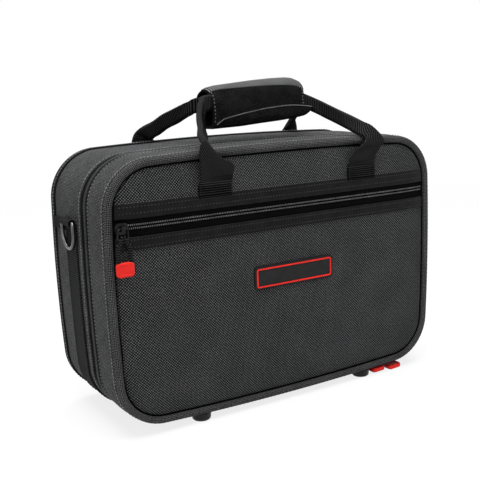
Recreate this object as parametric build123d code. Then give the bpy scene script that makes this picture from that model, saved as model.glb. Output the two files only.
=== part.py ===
from build123d import *
from math import asin, atan2, cos, degrees, hypot, radians, sin, sqrt
import os

# Soft-sided clarinet case, standing on its feet, in millimetres.
# +X runs right along the front, the front panel faces -Y, +Z is up.
# The origin is on the floor, under the middle of the whole part.

# ---- driving dimensions of the body ----
BODY_WIDTH = 341.8
BODY_HEIGHT = 231.0
BODY_DEPTH = 126.4
SIDE_CROWN = 3.6
END_CROWN = 4.6
CORNER_RADIUS = 43.0
FOOT_HEIGHT = 6.0
SKIN = 1.4
FOAM_WALL = 11.0
FOAM_FACE = 10.0
SEAT_GAP = 0.3

# ---- depths, from the front seam (0) to the rear seam (BODY_DEPTH) ----
PIPING_RADIUS = 3.1
ZIP_FRONT = 39.8
ZIP_PARTING = 46.0
ZIP_REAR = 56.0
BINDING_WIDTH = 8.6
BINDING_PROUD = 1.4
BINDING_LAP = 5.0
BINDING_FOLD = 1.0
FOAM_SETBACK = 0.8

# ---- zip ----
TAPE_THICKNESS = 1.0
COIL_HALF_WIDTH = 1.8
COIL_PROUD = 0.7
COIL_DEEP = 1.5
ZIP_END_SETBACK = 28.4
ZIP_STOP_WIDTH = 3.0
HINGE_FABRIC_THICKNESS = 1.2

# ---- front panel and pocket ----
PANEL_THICKNESS = 2.0
PANEL_PROUD = 1.2
PANEL_CLEAR = 0.4
BAND_DROP = 36.7
BAND_WIDTH = 37.8
FLANGE_THICKNESS = 1.0
FLANGE_UPPER_WIDTH = 12.3
FLANGE_LOWER_WIDTH = 11.0
PANEL_LAP = 7.0
COIL_DROP = 18.5
POCKET_LINING = 0.5
LINING_INSET = 13.0

# ---- badge ----
FITTING_X = 5.0
BADGE_WIDTH = 84.0
BADGE_HEIGHT = 20.5
BADGE_THICKNESS = 1.8
BADGE_Z = -0.3
BADGE_FRAME_BAR = 1.5
BADGE_FRAME_PROUD = 0.8
BADGE_MARGIN = 1.6

# ---- sliders and pulls ----
SLIDER_LENGTH = 11.0
SLIDER_WIDTH = 9.0
SLIDER_PLATE = 1.8
SLIDER_GAP = 0.4
SLIDER_CORNER = 3.0
ARCH_LENGTH = 3.0
ARCH_WALL = 1.2
LOOP_WIRE = 0.7
WIRE_CLEAR = 0.3
LOOP_WIDTH = 9.0
LOOP_CORNER = 2.0
POCKET_LOOP_LENGTH = 9.0
MAIN_LOOP_LENGTH = 15.0
PULLER_LENGTH = 20.0
PULLER_WIDTH = 14.0
PULLER_CORNER = 4.0
PULLER_ARM = 3.8
NECK_CLEAR = 0.6
NECK_REACH = 3.0
NECK_OVERLAP = 2.5
PULLER_THICKNESS = 3.4
TIP_LENGTH = 12.0
TIP_WIDTH = 15.0
TIP_THICKNESS = 4.2
TIP_CORNER = 3.0
POCKET_SLIDER_INSET = 6.8
MAIN_SLIDER_A_OFFSET = 10.0
MAIN_SLIDER_B_ANGLE = 3.5

# ---- webbing, rings and feet ----
SIDE_WEB_WIDTH = 25.0
SIDE_WEB_THICKNESS = 1.6
SIDE_WEB_SETBACK = 8.0
SIDE_WEB_DROP = 63.5
RING_WIRE = 1.6
RING_WIDTH = 30.0
RING_DROP = 26.0
RING_CLEAR = 0.3
RING_PIN_RISE = 5.0
SLEEVE_WALL = 1.3
SLEEVE_SINK = 0.4
SLEEVE_CLEAR = 0.8
TAB_RISE = 5.5
TAB_HEIGHT = 10.0
FOOT_RADIUS = 8.5
FOOT_SETBACK = 36.4
FRONT_FOOT_DEPTH = 10.0
REAR_FOOT_INSET = 18.9
FOOT_ROUND = 3.0

# ---- handle ----
STRAP_X = 77.4
STRAP_WIDTH = 32.0
STRAP_THICKNESS = 1.6
STRAP_SEWN_LENGTH = 9.2
FOLD_WIDTH = 14.0
FOLD_THICKNESS = 5.0
STRAP_BOW = 2.6
SHOULDER_DEPTH = 2.0
SHOULDER_RISE = 12.5
SHOULDER_OUT_LEFT = 2.0
SHOULDER_OUT_RIGHT = 13.0
SHOULDER_UPTURN = 0.5
STRAP_OVERRUN = 4.0
STRAP_HEADROOM = 3.5
GRIP_X = 8.0
GRIP_RISE = 14.5
GRIP_LENGTH = 108.0
GRIP_WIDTH = 24.0
GRIP_HEIGHT = 38.4
GRIP_WALL = 1.8
GRIP_CROWN = 7.0
FLAP_LIP = 11.0

# ---- padded insert, with its wells in four rows ----
INSERT_THICKNESS = 48.1
PAD_THICKNESS = 7.0
WELL_FILLET = 9.0
WELL_MARGIN = 10.0
WELL_GAP = 7.0
CORNER_MARGIN = 27.0
BELL_MARGIN = 16.0
BELL_LENGTH = 108.0
BARREL_LENGTH = 72.0
REED_LENGTH = 45.0
JOINT_WELL_DEPTH = 38.0
BELL_WELL_DEPTH = 44.0
REED_WELL_DEPTH = 28.0
ACCESSORY_WELL_DEPTH = 34.0

# ---- places in depth, worked out from the sizes above ----
CENTRE_Z = FOOT_HEIGHT + BODY_HEIGHT / 2
FRONT_SEAM = 2 * PIPING_RADIUS
PANEL_FACE = -PANEL_PROUD
FLANGE_FACE = PANEL_FACE - FLANGE_THICKNESS
SLIDER_FACE = FLANGE_FACE - SLIDER_GAP - SLIDER_PLATE - 2 * (LOOP_WIRE + WIRE_CLEAR) - ARCH_WALL
FRONT_REACH = -SLIDER_FACE
REAR_FACE = BODY_DEPTH - BINDING_FOLD
REAR_REACH = REAR_FACE + STRAP_THICKNESS + STRAP_BOW - BODY_DEPTH
FRONT_Y = -(BODY_DEPTH + REAR_REACH - FRONT_REACH) / 2
HANDLE_DEPTH = (PANEL_FACE + REAR_FACE) / 2
FOAM_INNER = SKIN + FOAM_WALL
INSERT_OFFSET = -(FOAM_INNER + SEAT_GAP)
LID_CAVITY = FRONT_SEAM + FOAM_FACE
BASE_CAVITY = REAR_FACE - PANEL_THICKNESS - FOAM_FACE
INSERT_FACE = BASE_CAVITY - SEAT_GAP - INSERT_THICKNESS
REAR_FOOT_DEPTH = BODY_DEPTH - REAR_FOOT_INSET
SIDE_WEB_DEPTH = ZIP_REAR + SIDE_WEB_SETBACK + SIDE_WEB_WIDTH / 2
PIPING_REACH = PIPING_RADIUS + sqrt(PIPING_RADIUS ** 2 - (PIPING_RADIUS - PANEL_THICKNESS + PANEL_PROUD) ** 2)
PANEL_INSET = PIPING_REACH + PANEL_CLEAR


def side_circle(half_span, crown):
    """Radius of the arc that rises by crown over a half span."""
    return (half_span ** 2 + crown ** 2) / (2 * crown)


HALF_WIDTH = BODY_WIDTH / 2
HALF_HEIGHT = BODY_HEIGHT / 2
SIDE_RADIUS = side_circle(HALF_HEIGHT - END_CROWN, SIDE_CROWN)
END_RADIUS = side_circle(HALF_WIDTH - SIDE_CROWN, END_CROWN)


def corner_centre(radius):
    """Centre of the corner arc that touches a side arc and an end arc."""
    side_x = HALF_WIDTH - SIDE_RADIUS
    end_z = HALF_HEIGHT - END_RADIUS
    from_side = SIDE_RADIUS - radius
    from_end = END_RADIUS - radius
    span = hypot(side_x, end_z)
    along = (from_side ** 2 - from_end ** 2 + span ** 2) / (2 * span)
    across = sqrt(from_side ** 2 - along ** 2)
    unit_x, unit_z = -side_x / span, end_z / span
    return (side_x + unit_x * along - unit_z * across, unit_z * along + unit_x * across)


# ---- places in width and height, from the middle of the body ----
CORNER_X, CORNER_Z = corner_centre(CORNER_RADIUS)
ZIP_END_X = CORNER_X - ZIP_END_SETBACK
MAIN_SLIDER_A_X = ZIP_END_X + MAIN_SLIDER_A_OFFSET
POCKET_SLIDER_X = -(HALF_WIDTH - PANEL_INSET - POCKET_SLIDER_INSET)
BAND_TOP = HALF_HEIGHT - BAND_DROP
BAND_BOTTOM = BAND_TOP - BAND_WIDTH
FLANGE_UPPER_EDGE = BAND_TOP - FLANGE_UPPER_WIDTH
FLANGE_LOWER_EDGE = BAND_BOTTOM + FLANGE_LOWER_WIDTH
COIL_Z = BAND_TOP - COIL_DROP
NECK_WIDTH = LOOP_WIDTH - 2 * LOOP_WIRE - 2 * NECK_CLEAR
SIDE_WEB_TOP = HALF_HEIGHT - SIDE_WEB_DROP
RING_PIN_Z = SIDE_WEB_TOP + RING_PIN_RISE
SLEEVE_RADIUS = RING_WIRE + RING_CLEAR + SLEEVE_WALL
SLEEVE_LENGTH = RING_WIDTH - 4 * RING_WIRE - 2 * SLEEVE_CLEAR
TAB_TOP = SIDE_WEB_TOP + TAB_RISE
FOOT_X = CORNER_X - FOOT_SETBACK
STRAP_SEWN_TOP = BAND_TOP + STRAP_SEWN_LENGTH
SHOULDER_Z = HALF_HEIGHT + SHOULDER_RISE
GRIP_BOTTOM = HALF_HEIGHT + GRIP_RISE
GRIP_TOP = GRIP_BOTTOM + GRIP_HEIGHT
STRAP_GRIP_Z = GRIP_TOP - GRIP_CROWN - GRIP_WALL / 2 - STRAP_HEADROOM - FOLD_WIDTH / 2
STRAP_END_X = GRIP_LENGTH / 2 + STRAP_OVERRUN
INSERT_X = HALF_WIDTH + INSERT_OFFSET
INSERT_Z = HALF_HEIGHT + INSERT_OFFSET
WELL_ROW = (2 * (INSERT_Z - WELL_MARGIN) - 3 * WELL_GAP) / 4


def outline(grow=0.0):
    """The case's crowned rounded rectangle, seen from the front, grown outwards by a distance."""
    side_x, side_z = HALF_WIDTH - SIDE_RADIUS, 0.0
    end_x, end_z = 0.0, HALF_HEIGHT - END_RADIUS
    radius = CORNER_RADIUS + grow
    to_side = atan2(CORNER_Z - side_z, CORNER_X - side_x)
    to_end = atan2(CORNER_Z - end_z, CORNER_X - end_x)
    to_mid = (to_side + to_end) / 2
    joint_a = (CORNER_X + radius * cos(to_side), CORNER_Z + radius * sin(to_side))
    joint_b = (CORNER_X + radius * cos(to_end), CORNER_Z + radius * sin(to_end))
    corner = (CORNER_X + radius * cos(to_mid), CORNER_Z + radius * sin(to_mid))
    quarter = [joint_a, corner, joint_b]
    end = (0.0, HALF_HEIGHT + grow)
    side = (HALF_WIDTH + grow, 0.0)
    edges = []
    for turn in (1, -1):
        near = [(turn * x, turn * z) for x, z in quarter]
        far = [(-turn * x, turn * z) for x, z in reversed(quarter)]
        edges.append(ThreePointArc(*near))
        edges.append(ThreePointArc(near[-1], (0.0, turn * end[1]), far[0]))
        edges.append(ThreePointArc(*far))
        edges.append(ThreePointArc(far[-1], (-turn * side[0], 0.0), (-near[0][0], -near[0][1])))
    return make_face(edges)


def slab(profile, front, back):
    """Extrude a profile drawn in front view from one depth to another."""
    return Pos(0, FRONT_Y + back, CENTRE_Z) * Rot(90, 0, 0) * extrude(profile, back - front)


def ring(outer, inner, front, back):
    """A band of the outline between two offsets."""
    return slab(outline(outer) - outline(inner), front, back)


def block(x0, x1, depth0, depth1, z0, z1):
    """A box by its limits; z is measured from the middle of the body."""
    size = Box(x1 - x0, depth1 - depth0, z1 - z0)
    return Pos((x0 + x1) / 2, FRONT_Y + (depth0 + depth1) / 2, CENTRE_Z + (z0 + z1) / 2) * size


def below(limit, reach=BODY_WIDTH):
    """Everything below a height and within a distance of the middle plane."""
    return block(-reach, reach, -BODY_DEPTH, 2 * BODY_DEPTH, -BODY_HEIGHT, limit)


def mirrored(part):
    """The part's twin across the case's middle plane."""
    return mirror(part, about=Plane.YZ)


def bottom_at(x, grow=0.0):
    """Height of the underside at a distance from the middle, from the middle of the body."""
    radius = END_RADIUS + grow
    return END_RADIUS - HALF_HEIGHT - sqrt(radius ** 2 - x ** 2)


# ---- shells, skins and seams ----

def tray(front, back, cavity_front, cavity_back):
    return slab(outline(-SKIN), front, back) - slab(outline(-FOAM_INNER), cavity_front, cavity_back)


def base_foam():
    return tray(ZIP_REAR - FOAM_SETBACK, REAR_FACE - PANEL_THICKNESS, ZIP_REAR - FOAM_SETBACK, BASE_CAVITY)


def lid_foam():
    back = ZIP_FRONT - FOAM_SETBACK
    return tray(FRONT_SEAM, back, LID_CAVITY, back)


def piping():
    path = outline(-PIPING_RADIUS).face().outer_wire()
    start = path @ 0
    section = Plane(origin=start, z_dir=path % 0) * Circle(PIPING_RADIUS)
    cord = sweep(section, path=path)
    cord = Pos(0, FRONT_Y + FRONT_SEAM - PIPING_RADIUS, CENTRE_Z) * Rot(90, 0, 0) * cord
    welt = ring(-PIPING_RADIUS, -LINING_INSET, FRONT_SEAM - SKIN, FRONT_SEAM)
    return cord + welt


def rear_binding():
    front = BODY_DEPTH - BINDING_WIDTH
    lap = ring(BINDING_PROUD, 0, front, BODY_DEPTH)
    face = ring(0, -BINDING_LAP, REAR_FACE, BODY_DEPTH)
    return lap + face


def zip_tape(front, back):
    return ring(-SKIN + TAPE_THICKNESS, -SKIN, front, back) - below(0, ZIP_END_X)


def zip_coil(front, back):
    return ring(COIL_PROUD, -COIL_DEEP, front, back) - below(0, ZIP_END_X)


def hinge_fabric():
    """The stretch of the underside where the zip stops and the lid hinges."""
    strip = ring(0, -HINGE_FABRIC_THICKNESS, ZIP_FRONT, ZIP_REAR)
    return strip & below(0, ZIP_END_X - ZIP_STOP_WIDTH)


def zip_stops():
    strip = ring(COIL_PROUD, -SKIN, ZIP_PARTING + COIL_HALF_WIDTH, ZIP_REAR)
    stop = strip & block(ZIP_END_X - ZIP_STOP_WIDTH, ZIP_END_X, ZIP_FRONT, ZIP_REAR, -BODY_HEIGHT, 0)
    return Compound([stop, mirrored(stop)])


# ---- front panel, pocket and badge ----

def front_sheet(z0, z1, front, back):
    """A level strip of the front panel, between two heights."""
    return slab(outline(-PANEL_INSET), front, back) & block(-BODY_WIDTH, BODY_WIDTH, front, back, z0, z1)


def panel_upper():
    return front_sheet(BAND_TOP - PANEL_LAP, BODY_HEIGHT, PANEL_FACE, PANEL_FACE + PANEL_THICKNESS)


def panel_lower():
    return front_sheet(-BODY_HEIGHT, BAND_BOTTOM + PANEL_LAP, PANEL_FACE, PANEL_FACE + PANEL_THICKNESS)


def flange(z0, z1):
    return front_sheet(z0, z1, FLANGE_FACE, PANEL_FACE)


def pocket_tape(z0, z1):
    return front_sheet(z0, z1, PANEL_FACE, PANEL_FACE + TAPE_THICKNESS)


def pocket_coil():
    z0, z1 = COIL_Z - COIL_HALF_WIDTH, COIL_Z + COIL_HALF_WIDTH
    return front_sheet(z0, z1, FLANGE_FACE, PANEL_FACE)


def pocket_lining():
    return slab(outline(-LINING_INSET - SEAT_GAP), FRONT_SEAM - POCKET_LINING, FRONT_SEAM)


def badge_plate():
    face = RectangleRounded(BADGE_WIDTH, BADGE_HEIGHT, BADGE_MARGIN)
    return slab(Pos(FITTING_X, BADGE_Z) * face, PANEL_FACE - BADGE_THICKNESS, PANEL_FACE)


def badge_frame():
    width, height = BADGE_WIDTH - 2 * BADGE_MARGIN, BADGE_HEIGHT - 2 * BADGE_MARGIN
    outer = RectangleRounded(width, height, BADGE_MARGIN)
    inner = Rectangle(width - 2 * BADGE_FRAME_BAR, height - 2 * BADGE_FRAME_BAR)
    back = PANEL_FACE - BADGE_THICKNESS
    return slab(Pos(FITTING_X, BADGE_Z) * (outer - inner), back - BADGE_FRAME_PROUD, back)


# ---- sliders and pulls, drawn on a zip that lies along X and faces +Z ----

def slider_shape():
    """Plate over the coil, with an arch across it that holds the pull's wire."""
    plate = extrude(RectangleRounded(SLIDER_LENGTH, SLIDER_WIDTH, SLIDER_CORNER), SLIDER_PLATE)
    opening = 2 * (LOOP_WIRE + WIRE_CLEAR)
    arch_top = opening + ARCH_WALL
    arch = Pos(0, 0, SLIDER_PLATE + arch_top / 2) * Box(ARCH_LENGTH, opening + 2 * ARCH_WALL, arch_top)
    tunnel = Pos(0, 0, SLIDER_PLATE + opening / 2) * Box(ARCH_LENGTH, opening, opening)
    return plate + arch - tunnel


def pull_loop(length):
    """Wire loop; its near bar lies on the X axis and it reaches towards -Y."""
    frame = Pos(0, -length / 2) * RectangleRounded(LOOP_WIDTH, length, LOOP_CORNER)
    path = frame.face().outer_wire()
    return sweep(Plane(origin=path @ 0, z_dir=path % 0) * Circle(LOOP_WIRE), path=path)


def puller(length):
    """Cord puller: a neck that the loop's far bar passes through, and two arms down to the tip."""
    start = -length + NECK_OVERLAP
    neck_end = -length - NECK_REACH
    end = start - PULLER_LENGTH
    neck = Pos(0, (start + neck_end) / 2) * Rectangle(NECK_WIDTH, start - neck_end)
    tall = neck_end - end
    body = Pos(0, neck_end - tall) * RectangleRounded(PULLER_WIDTH, 2 * tall, PULLER_CORNER)
    opening = Pos(0, end) * Rectangle(PULLER_WIDTH - 2 * PULLER_ARM, 2 * (tall - PULLER_ARM))
    below_end = Pos(0, end - tall / 2) * Rectangle(PULLER_WIDTH, tall)
    bar_hole = Pos(0, -length) * Rot(0, 90, 0) * Cylinder(LOOP_WIRE + WIRE_CLEAR, PULLER_WIDTH)
    return extrude(neck + body - opening - below_end, PULLER_THICKNESS / 2, both=True) - bar_hole


def pull_tip(length):
    """Bright rounded tip on the end of the puller."""
    start = -length + NECK_OVERLAP - PULLER_LENGTH
    face = Pos(0, start - TIP_LENGTH / 2) * RectangleRounded(TIP_WIDTH, TIP_LENGTH, TIP_CORNER)
    return extrude(face, TIP_THICKNESS / 2, both=True)


def slider_set(length, place):
    """A slider with its loop, puller and tip, put in place together."""
    pin = place * Pos(0, 0, SLIDER_PLATE + LOOP_WIRE + WIRE_CLEAR)
    return [place * slider_shape(), pin * pull_loop(length), pin * puller(length), pin * pull_tip(length)]


def pocket_place():
    depth = FRONT_Y + FLANGE_FACE - SLIDER_GAP
    return Pos(POCKET_SLIDER_X, depth, CENTRE_Z + COIL_Z) * Rot(90, 0, 0)


def under_zip(pivot_z, radius, turn):
    """A place under the zip, turned about a centre of curvature on the parting line."""
    down = radius + COIL_PROUD + SLIDER_GAP
    pivot = Pos(0, FRONT_Y + ZIP_PARTING, CENTRE_Z + pivot_z)
    return pivot * Rot(0, -turn, 0) * Pos(0, 0, -down) * Rot(0, 180, 0)


def main_place_a():
    return under_zip(END_RADIUS - HALF_HEIGHT, END_RADIUS, degrees(asin(MAIN_SLIDER_A_X / END_RADIUS)))


def main_place_b():
    return Pos(CORNER_X, 0, 0) * under_zip(-CORNER_Z, CORNER_RADIUS, MAIN_SLIDER_B_ANGLE)


# ---- side webbing, rings and feet ----

def side_webbing():
    front, back = SIDE_WEB_DEPTH - SIDE_WEB_WIDTH / 2, SIDE_WEB_DEPTH + SIDE_WEB_WIDTH / 2
    return ring(SIDE_WEB_THICKNESS, 0, front, back) & below(SIDE_WEB_TOP)


def side_surface(z):
    """Half width of the crowned side at a height."""
    return sqrt(SIDE_RADIUS ** 2 - z ** 2) - SIDE_RADIUS + HALF_WIDTH


def ring_pin():
    """Place of the right-hand ring's straight bar."""
    x = side_surface(RING_PIN_Z) + SIDE_WEB_THICKNESS + SLEEVE_RADIUS - SLEEVE_SINK
    return Pos(x, FRONT_Y + SIDE_WEB_DEPTH, CENTRE_Z + RING_PIN_Z)


def ring_tab():
    """Webbing tab on the right side: a plate run back to the rear seam, and a sleeve for the ring."""
    front, back = SIDE_WEB_DEPTH - SIDE_WEB_WIDTH / 2, SIDE_WEB_DEPTH + SIDE_WEB_WIDTH / 2
    seam = BODY_DEPTH - BINDING_WIDTH
    bottom = TAB_TOP - TAB_HEIGHT
    corners = [(front, TAB_TOP), (front, SIDE_WEB_TOP), (back, SIDE_WEB_TOP)]
    corners += [(back, bottom), (seam, bottom), (seam, TAB_TOP)]
    points = [(FRONT_Y + depth, CENTRE_Z + z) for depth, z in corners]
    prism = extrude(Plane.YZ * make_face(Polyline(points, close=True)), BODY_WIDTH)
    plate = ring(SIDE_WEB_THICKNESS, 0, front, seam) & prism
    axis = ring_pin() * Rot(90, 0, 0)
    sleeve = axis * Cylinder(SLEEVE_RADIUS, SLEEVE_LENGTH)
    return plate + sleeve - axis * Cylinder(RING_WIRE + RING_CLEAR, SLEEVE_LENGTH)


def d_ring():
    """Right-hand ring, hanging from its straight bar."""
    half, drop = RING_WIDTH / 2 - RING_WIRE, RING_DROP - 2 * RING_WIRE
    arm = drop - half
    bow = Line((-half, 0), (-half, -arm))
    bow += ThreePointArc((-half, -arm), (0, -drop), (half, -arm))
    bow += Line((half, -arm), (half, 0))
    loop = sweep(Plane(origin=(-half, 0, 0), z_dir=(0, -1, 0)) * Circle(RING_WIRE), path=bow)
    bar = Rot(0, 90, 0) * Cylinder(RING_WIRE, 2 * half)
    ends = [Pos(side * half, 0, 0) * Sphere(RING_WIRE) for side in (-1, 1)]
    shape = loop + bar + ends[0] + ends[1]
    return ring_pin() * Rot(0, 0, 90) * Rot(90, 0, 0) * shape


def foot(depth):
    """Right-hand foot: a low dome that meets the underside."""
    seat = bottom_at(FOOT_X)
    tall = seat + CENTRE_Z
    body = Pos(FOOT_X, FRONT_Y + depth, tall / 2) * Cylinder(FOOT_RADIUS, tall)
    body = fillet(body.edges().sort_by(Axis.Z)[0], FOOT_ROUND)
    return body - slab(outline(), 0, BODY_DEPTH) - side_webbing()


def feet(depth):
    pad = foot(depth)
    return Compound([pad, mirrored(pad)])


# ---- carrying handle ----

def station(centre, along, wide, width, thickness):
    """A strap's section: a rectangle across its run, with its width as near to wide as can be."""
    along = Vector(*along).normalized()
    wide = Vector(*wide)
    wide = wide - along * wide.dot(along)
    return Plane(origin=centre, x_dir=wide, z_dir=along) * Rectangle(width, thickness)


def strap_leg(side, out):
    """Sections of one leg, from the sewn end up to the grip, on the front of the case."""
    base_x = side * STRAP_X
    plate_y = PANEL_FACE - STRAP_THICKNESS / 2
    shoulder = (base_x + side * out, SHOULDER_DEPTH, SHOULDER_Z)
    grip_depth = HANDLE_DEPTH - GRIP_WIDTH / 2 + GRIP_WALL + SEAT_GAP + FOLD_THICKNESS / 2
    grip = (side * STRAP_END_X, grip_depth, STRAP_GRIP_Z)
    run = Vector(*grip) - Vector(*shoulder)
    upturn = Vector(0, 0, run.length * SHOULDER_UPTURN)
    turn = (base_x + side * out / 2, plate_y - STRAP_BOW, HALF_HEIGHT)
    up = (0, 0, 1)
    cross = (side, 0, 0)
    return [
        station((base_x, plate_y, STRAP_SEWN_TOP), up, cross, STRAP_WIDTH, STRAP_THICKNESS),
        station(turn, up, cross, STRAP_WIDTH, STRAP_THICKNESS),
        station(shoulder, run + upturn, (side, 0, 1), FOLD_WIDTH, FOLD_THICKNESS),
        station(grip, (-side, 0, 0), up, FOLD_WIDTH, FOLD_THICKNESS),
        station((0, grip_depth, STRAP_GRIP_Z), (-side, 0, 0), up, FOLD_WIDTH, FOLD_THICKNESS),
    ]


def strap():
    """The free length of the front strap, both legs and the grip."""
    left = loft(strap_leg(-1, SHOULDER_OUT_LEFT), ruled=True)
    right = loft(strap_leg(1, SHOULDER_OUT_RIGHT), ruled=True)
    return Pos(FITTING_X, FRONT_Y, CENTRE_Z) * (left + right)


def strap_ends():
    """The front strap's two ends, sewn flat on the panel."""
    ends = []
    half = STRAP_WIDTH / 2
    face = PANEL_FACE - STRAP_THICKNESS
    for x in (FITTING_X - STRAP_X, FITTING_X + STRAP_X):
        ends.append(block(x - half, x + half, face, PANEL_FACE, BAND_TOP, STRAP_SEWN_TOP))
    return Compound(ends)


def to_rear(part, face):
    """Turn a piece that sits on the front panel round to sit on the rear panel."""
    return mirror(part, about=Plane.XZ.offset(-(2 * FRONT_Y + PANEL_FACE + face) / 2))


def grip_profile(corners):
    """A sheet of the grip, drawn across it as depth and height."""
    points = [(FRONT_Y + HANDLE_DEPTH + y, CENTRE_Z + z) for y, z in corners]
    return extrude(Plane.YZ * make_face(Polyline(points, close=True)), GRIP_LENGTH)


def grip_wrap():
    """Front wall and top of the grip, one folded sheet."""
    half, top, wall = GRIP_WIDTH / 2, GRIP_TOP, GRIP_WALL
    shoulder = top - GRIP_CROWN
    crest = half - GRIP_CROWN
    corners = [(-half, GRIP_BOTTOM), (-half, shoulder), (-crest, top), (crest, top)]
    corners += [(crest, top - wall), (wall / 2 - crest, top - wall)]
    corners += [(wall - half, shoulder - wall / 2), (wall - half, GRIP_BOTTOM)]
    return Pos(GRIP_X - GRIP_LENGTH / 2, 0, 0) * grip_profile(corners)


def grip_flap():
    """Rear wall and underside of the grip, with the lip that closes over the front wall."""
    half, top, wall = GRIP_WIDTH / 2, GRIP_TOP, GRIP_WALL
    shoulder = top - GRIP_CROWN
    crest = half - GRIP_CROWN
    floor = GRIP_BOTTOM - wall
    seat = half + SEAT_GAP
    corners = [(crest, top), (half, shoulder), (half, floor), (-seat - wall, floor)]
    corners += [(-seat - wall, floor + FLAP_LIP), (-seat, floor + FLAP_LIP), (-seat, GRIP_BOTTOM)]
    corners += [(half - wall, GRIP_BOTTOM)]
    corners += [(half - wall, shoulder - wall / 2), (crest, top - wall)]
    return Pos(GRIP_X - GRIP_LENGTH / 2, 0, 0) * grip_profile(corners)


# ---- padded inside ----

def well_row(number):
    """Lower and upper limit of a row of wells, counted down from the top."""
    top = INSERT_Z - WELL_MARGIN - number * (WELL_ROW + WELL_GAP)
    return (top - WELL_ROW, top)


def wells():
    """Each well's limits in x and z, and its depth below the insert's face."""
    edge = INSERT_X - WELL_MARGIN
    corner = INSERT_X - CORNER_MARGIN
    reed = edge - REED_LENGTH
    bell_end = INSERT_X - BELL_MARGIN
    bell = bell_end - BELL_LENGTH
    barrel_end = bell - WELL_GAP
    barrel = barrel_end - BARREL_LENGTH
    bell_row = (well_row(3)[0], well_row(2)[1])
    return {
        "lower_joint": (-corner, corner, *well_row(0), JOINT_WELL_DEPTH),
        "upper_joint": (-edge, reed - WELL_GAP, *well_row(1), JOINT_WELL_DEPTH),
        "reed": (reed, edge, *well_row(1), REED_WELL_DEPTH),
        "mouthpiece": (-edge, barrel - WELL_GAP, *well_row(2), JOINT_WELL_DEPTH),
        "barrel": (barrel, barrel_end, *well_row(2), JOINT_WELL_DEPTH),
        "bell": (bell, bell_end, *bell_row, BELL_WELL_DEPTH),
        "accessory": (-corner, barrel_end, *well_row(3), ACCESSORY_WELL_DEPTH),
    }


def well(x0, x1, z0, z1, depth):
    """A rounded pocket that opens at the insert's face."""
    cutter = block(x0, x1, INSERT_FACE - 2 * WELL_FILLET, INSERT_FACE + depth, z0, z1)
    return fillet(cutter.edges(), WELL_FILLET)


def clarinet_insert():
    body = slab(outline(INSERT_OFFSET), INSERT_FACE, BASE_CAVITY - SEAT_GAP)
    for limits in wells().values():
        body -= well(*limits)
    return body


def lid_pad():
    front = LID_CAVITY + SEAT_GAP
    return slab(outline(INSERT_OFFSET), front, front + PAD_THICKNESS)


def nodes():
    """Every node of the part by name."""
    pocket = slider_set(POCKET_LOOP_LENGTH, pocket_place())
    main_a = slider_set(MAIN_LOOP_LENGTH, main_place_a())
    main_b = slider_set(MAIN_LOOP_LENGTH, main_place_b())
    made = {
        "base_foam": base_foam(),
        "rear_gusset": ring(0, -SKIN, ZIP_REAR, REAR_FACE),
        "rear_panel": slab(outline(-SKIN), REAR_FACE - PANEL_THICKNESS, REAR_FACE),
        "rear_binding": rear_binding(),
        "base_zip_tape": zip_tape(ZIP_PARTING + COIL_HALF_WIDTH, ZIP_REAR),
        "base_zip_coil": zip_coil(ZIP_PARTING, ZIP_PARTING + COIL_HALF_WIDTH),
        "zip_stops": zip_stops(),
        "hinge_fabric": hinge_fabric(),
        "clarinet_insert": clarinet_insert(),
        "side_webbing": side_webbing(),
        "ring_tab_right": ring_tab(),
        "ring_tab_left": mirrored(ring_tab()),
        "d_ring_right": d_ring(),
        "d_ring_left": mirrored(d_ring()),
        "rear_feet": feet(REAR_FOOT_DEPTH),
        "rear_strap_ends": to_rear(strap_ends(), REAR_FACE),
        "rear_strap": to_rear(strap(), REAR_FACE),
        "lid_foam": lid_foam(),
        "front_gusset": ring(0, -SKIN, FRONT_SEAM, ZIP_FRONT),
        "front_piping": piping(),
        "lid_zip_tape": zip_tape(ZIP_FRONT, ZIP_PARTING - COIL_HALF_WIDTH),
        "lid_zip_coil": zip_coil(ZIP_PARTING - COIL_HALF_WIDTH, ZIP_PARTING),
        "lid_pad": lid_pad(),
        "pocket_lining": pocket_lining(),
        "front_panel_upper": panel_upper(),
        "front_panel_lower": panel_lower(),
        "pocket_flange_upper": flange(FLANGE_UPPER_EDGE, BAND_TOP),
        "pocket_flange_lower": flange(BAND_BOTTOM, FLANGE_LOWER_EDGE),
        "pocket_tape_upper": pocket_tape(COIL_Z, BAND_TOP - PANEL_LAP),
        "pocket_tape_lower": pocket_tape(BAND_BOTTOM + PANEL_LAP, COIL_Z),
        "pocket_coil": pocket_coil(),
        "badge_plate": badge_plate(),
        "badge_frame": badge_frame(),
        "front_feet": feet(FRONT_FOOT_DEPTH),
        "front_strap_ends": strap_ends(),
        "front_strap": strap(),
        "grip_wrap": grip_wrap(),
        "grip_flap": grip_flap(),
    }
    for label, pieces in (("pocket", pocket), ("main_a", main_a), ("main_b", main_b)):
        for kind, piece in zip(("slider", "pull_loop", "puller", "pull_tip"), pieces):
            made[label + "_" + kind] = piece
    return made


os.makedirs("parts", exist_ok=True)
for name, shape in nodes().items():
    export_step(shape, "parts/" + name + ".step")
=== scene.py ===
from math import atan2, cos, hypot, pi, radians, sin, sqrt

import bmesh
import bpy
import numpy as np
from mathutils import Matrix, Vector
from mathutils.geometry import delaunay_2d_cdt


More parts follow.
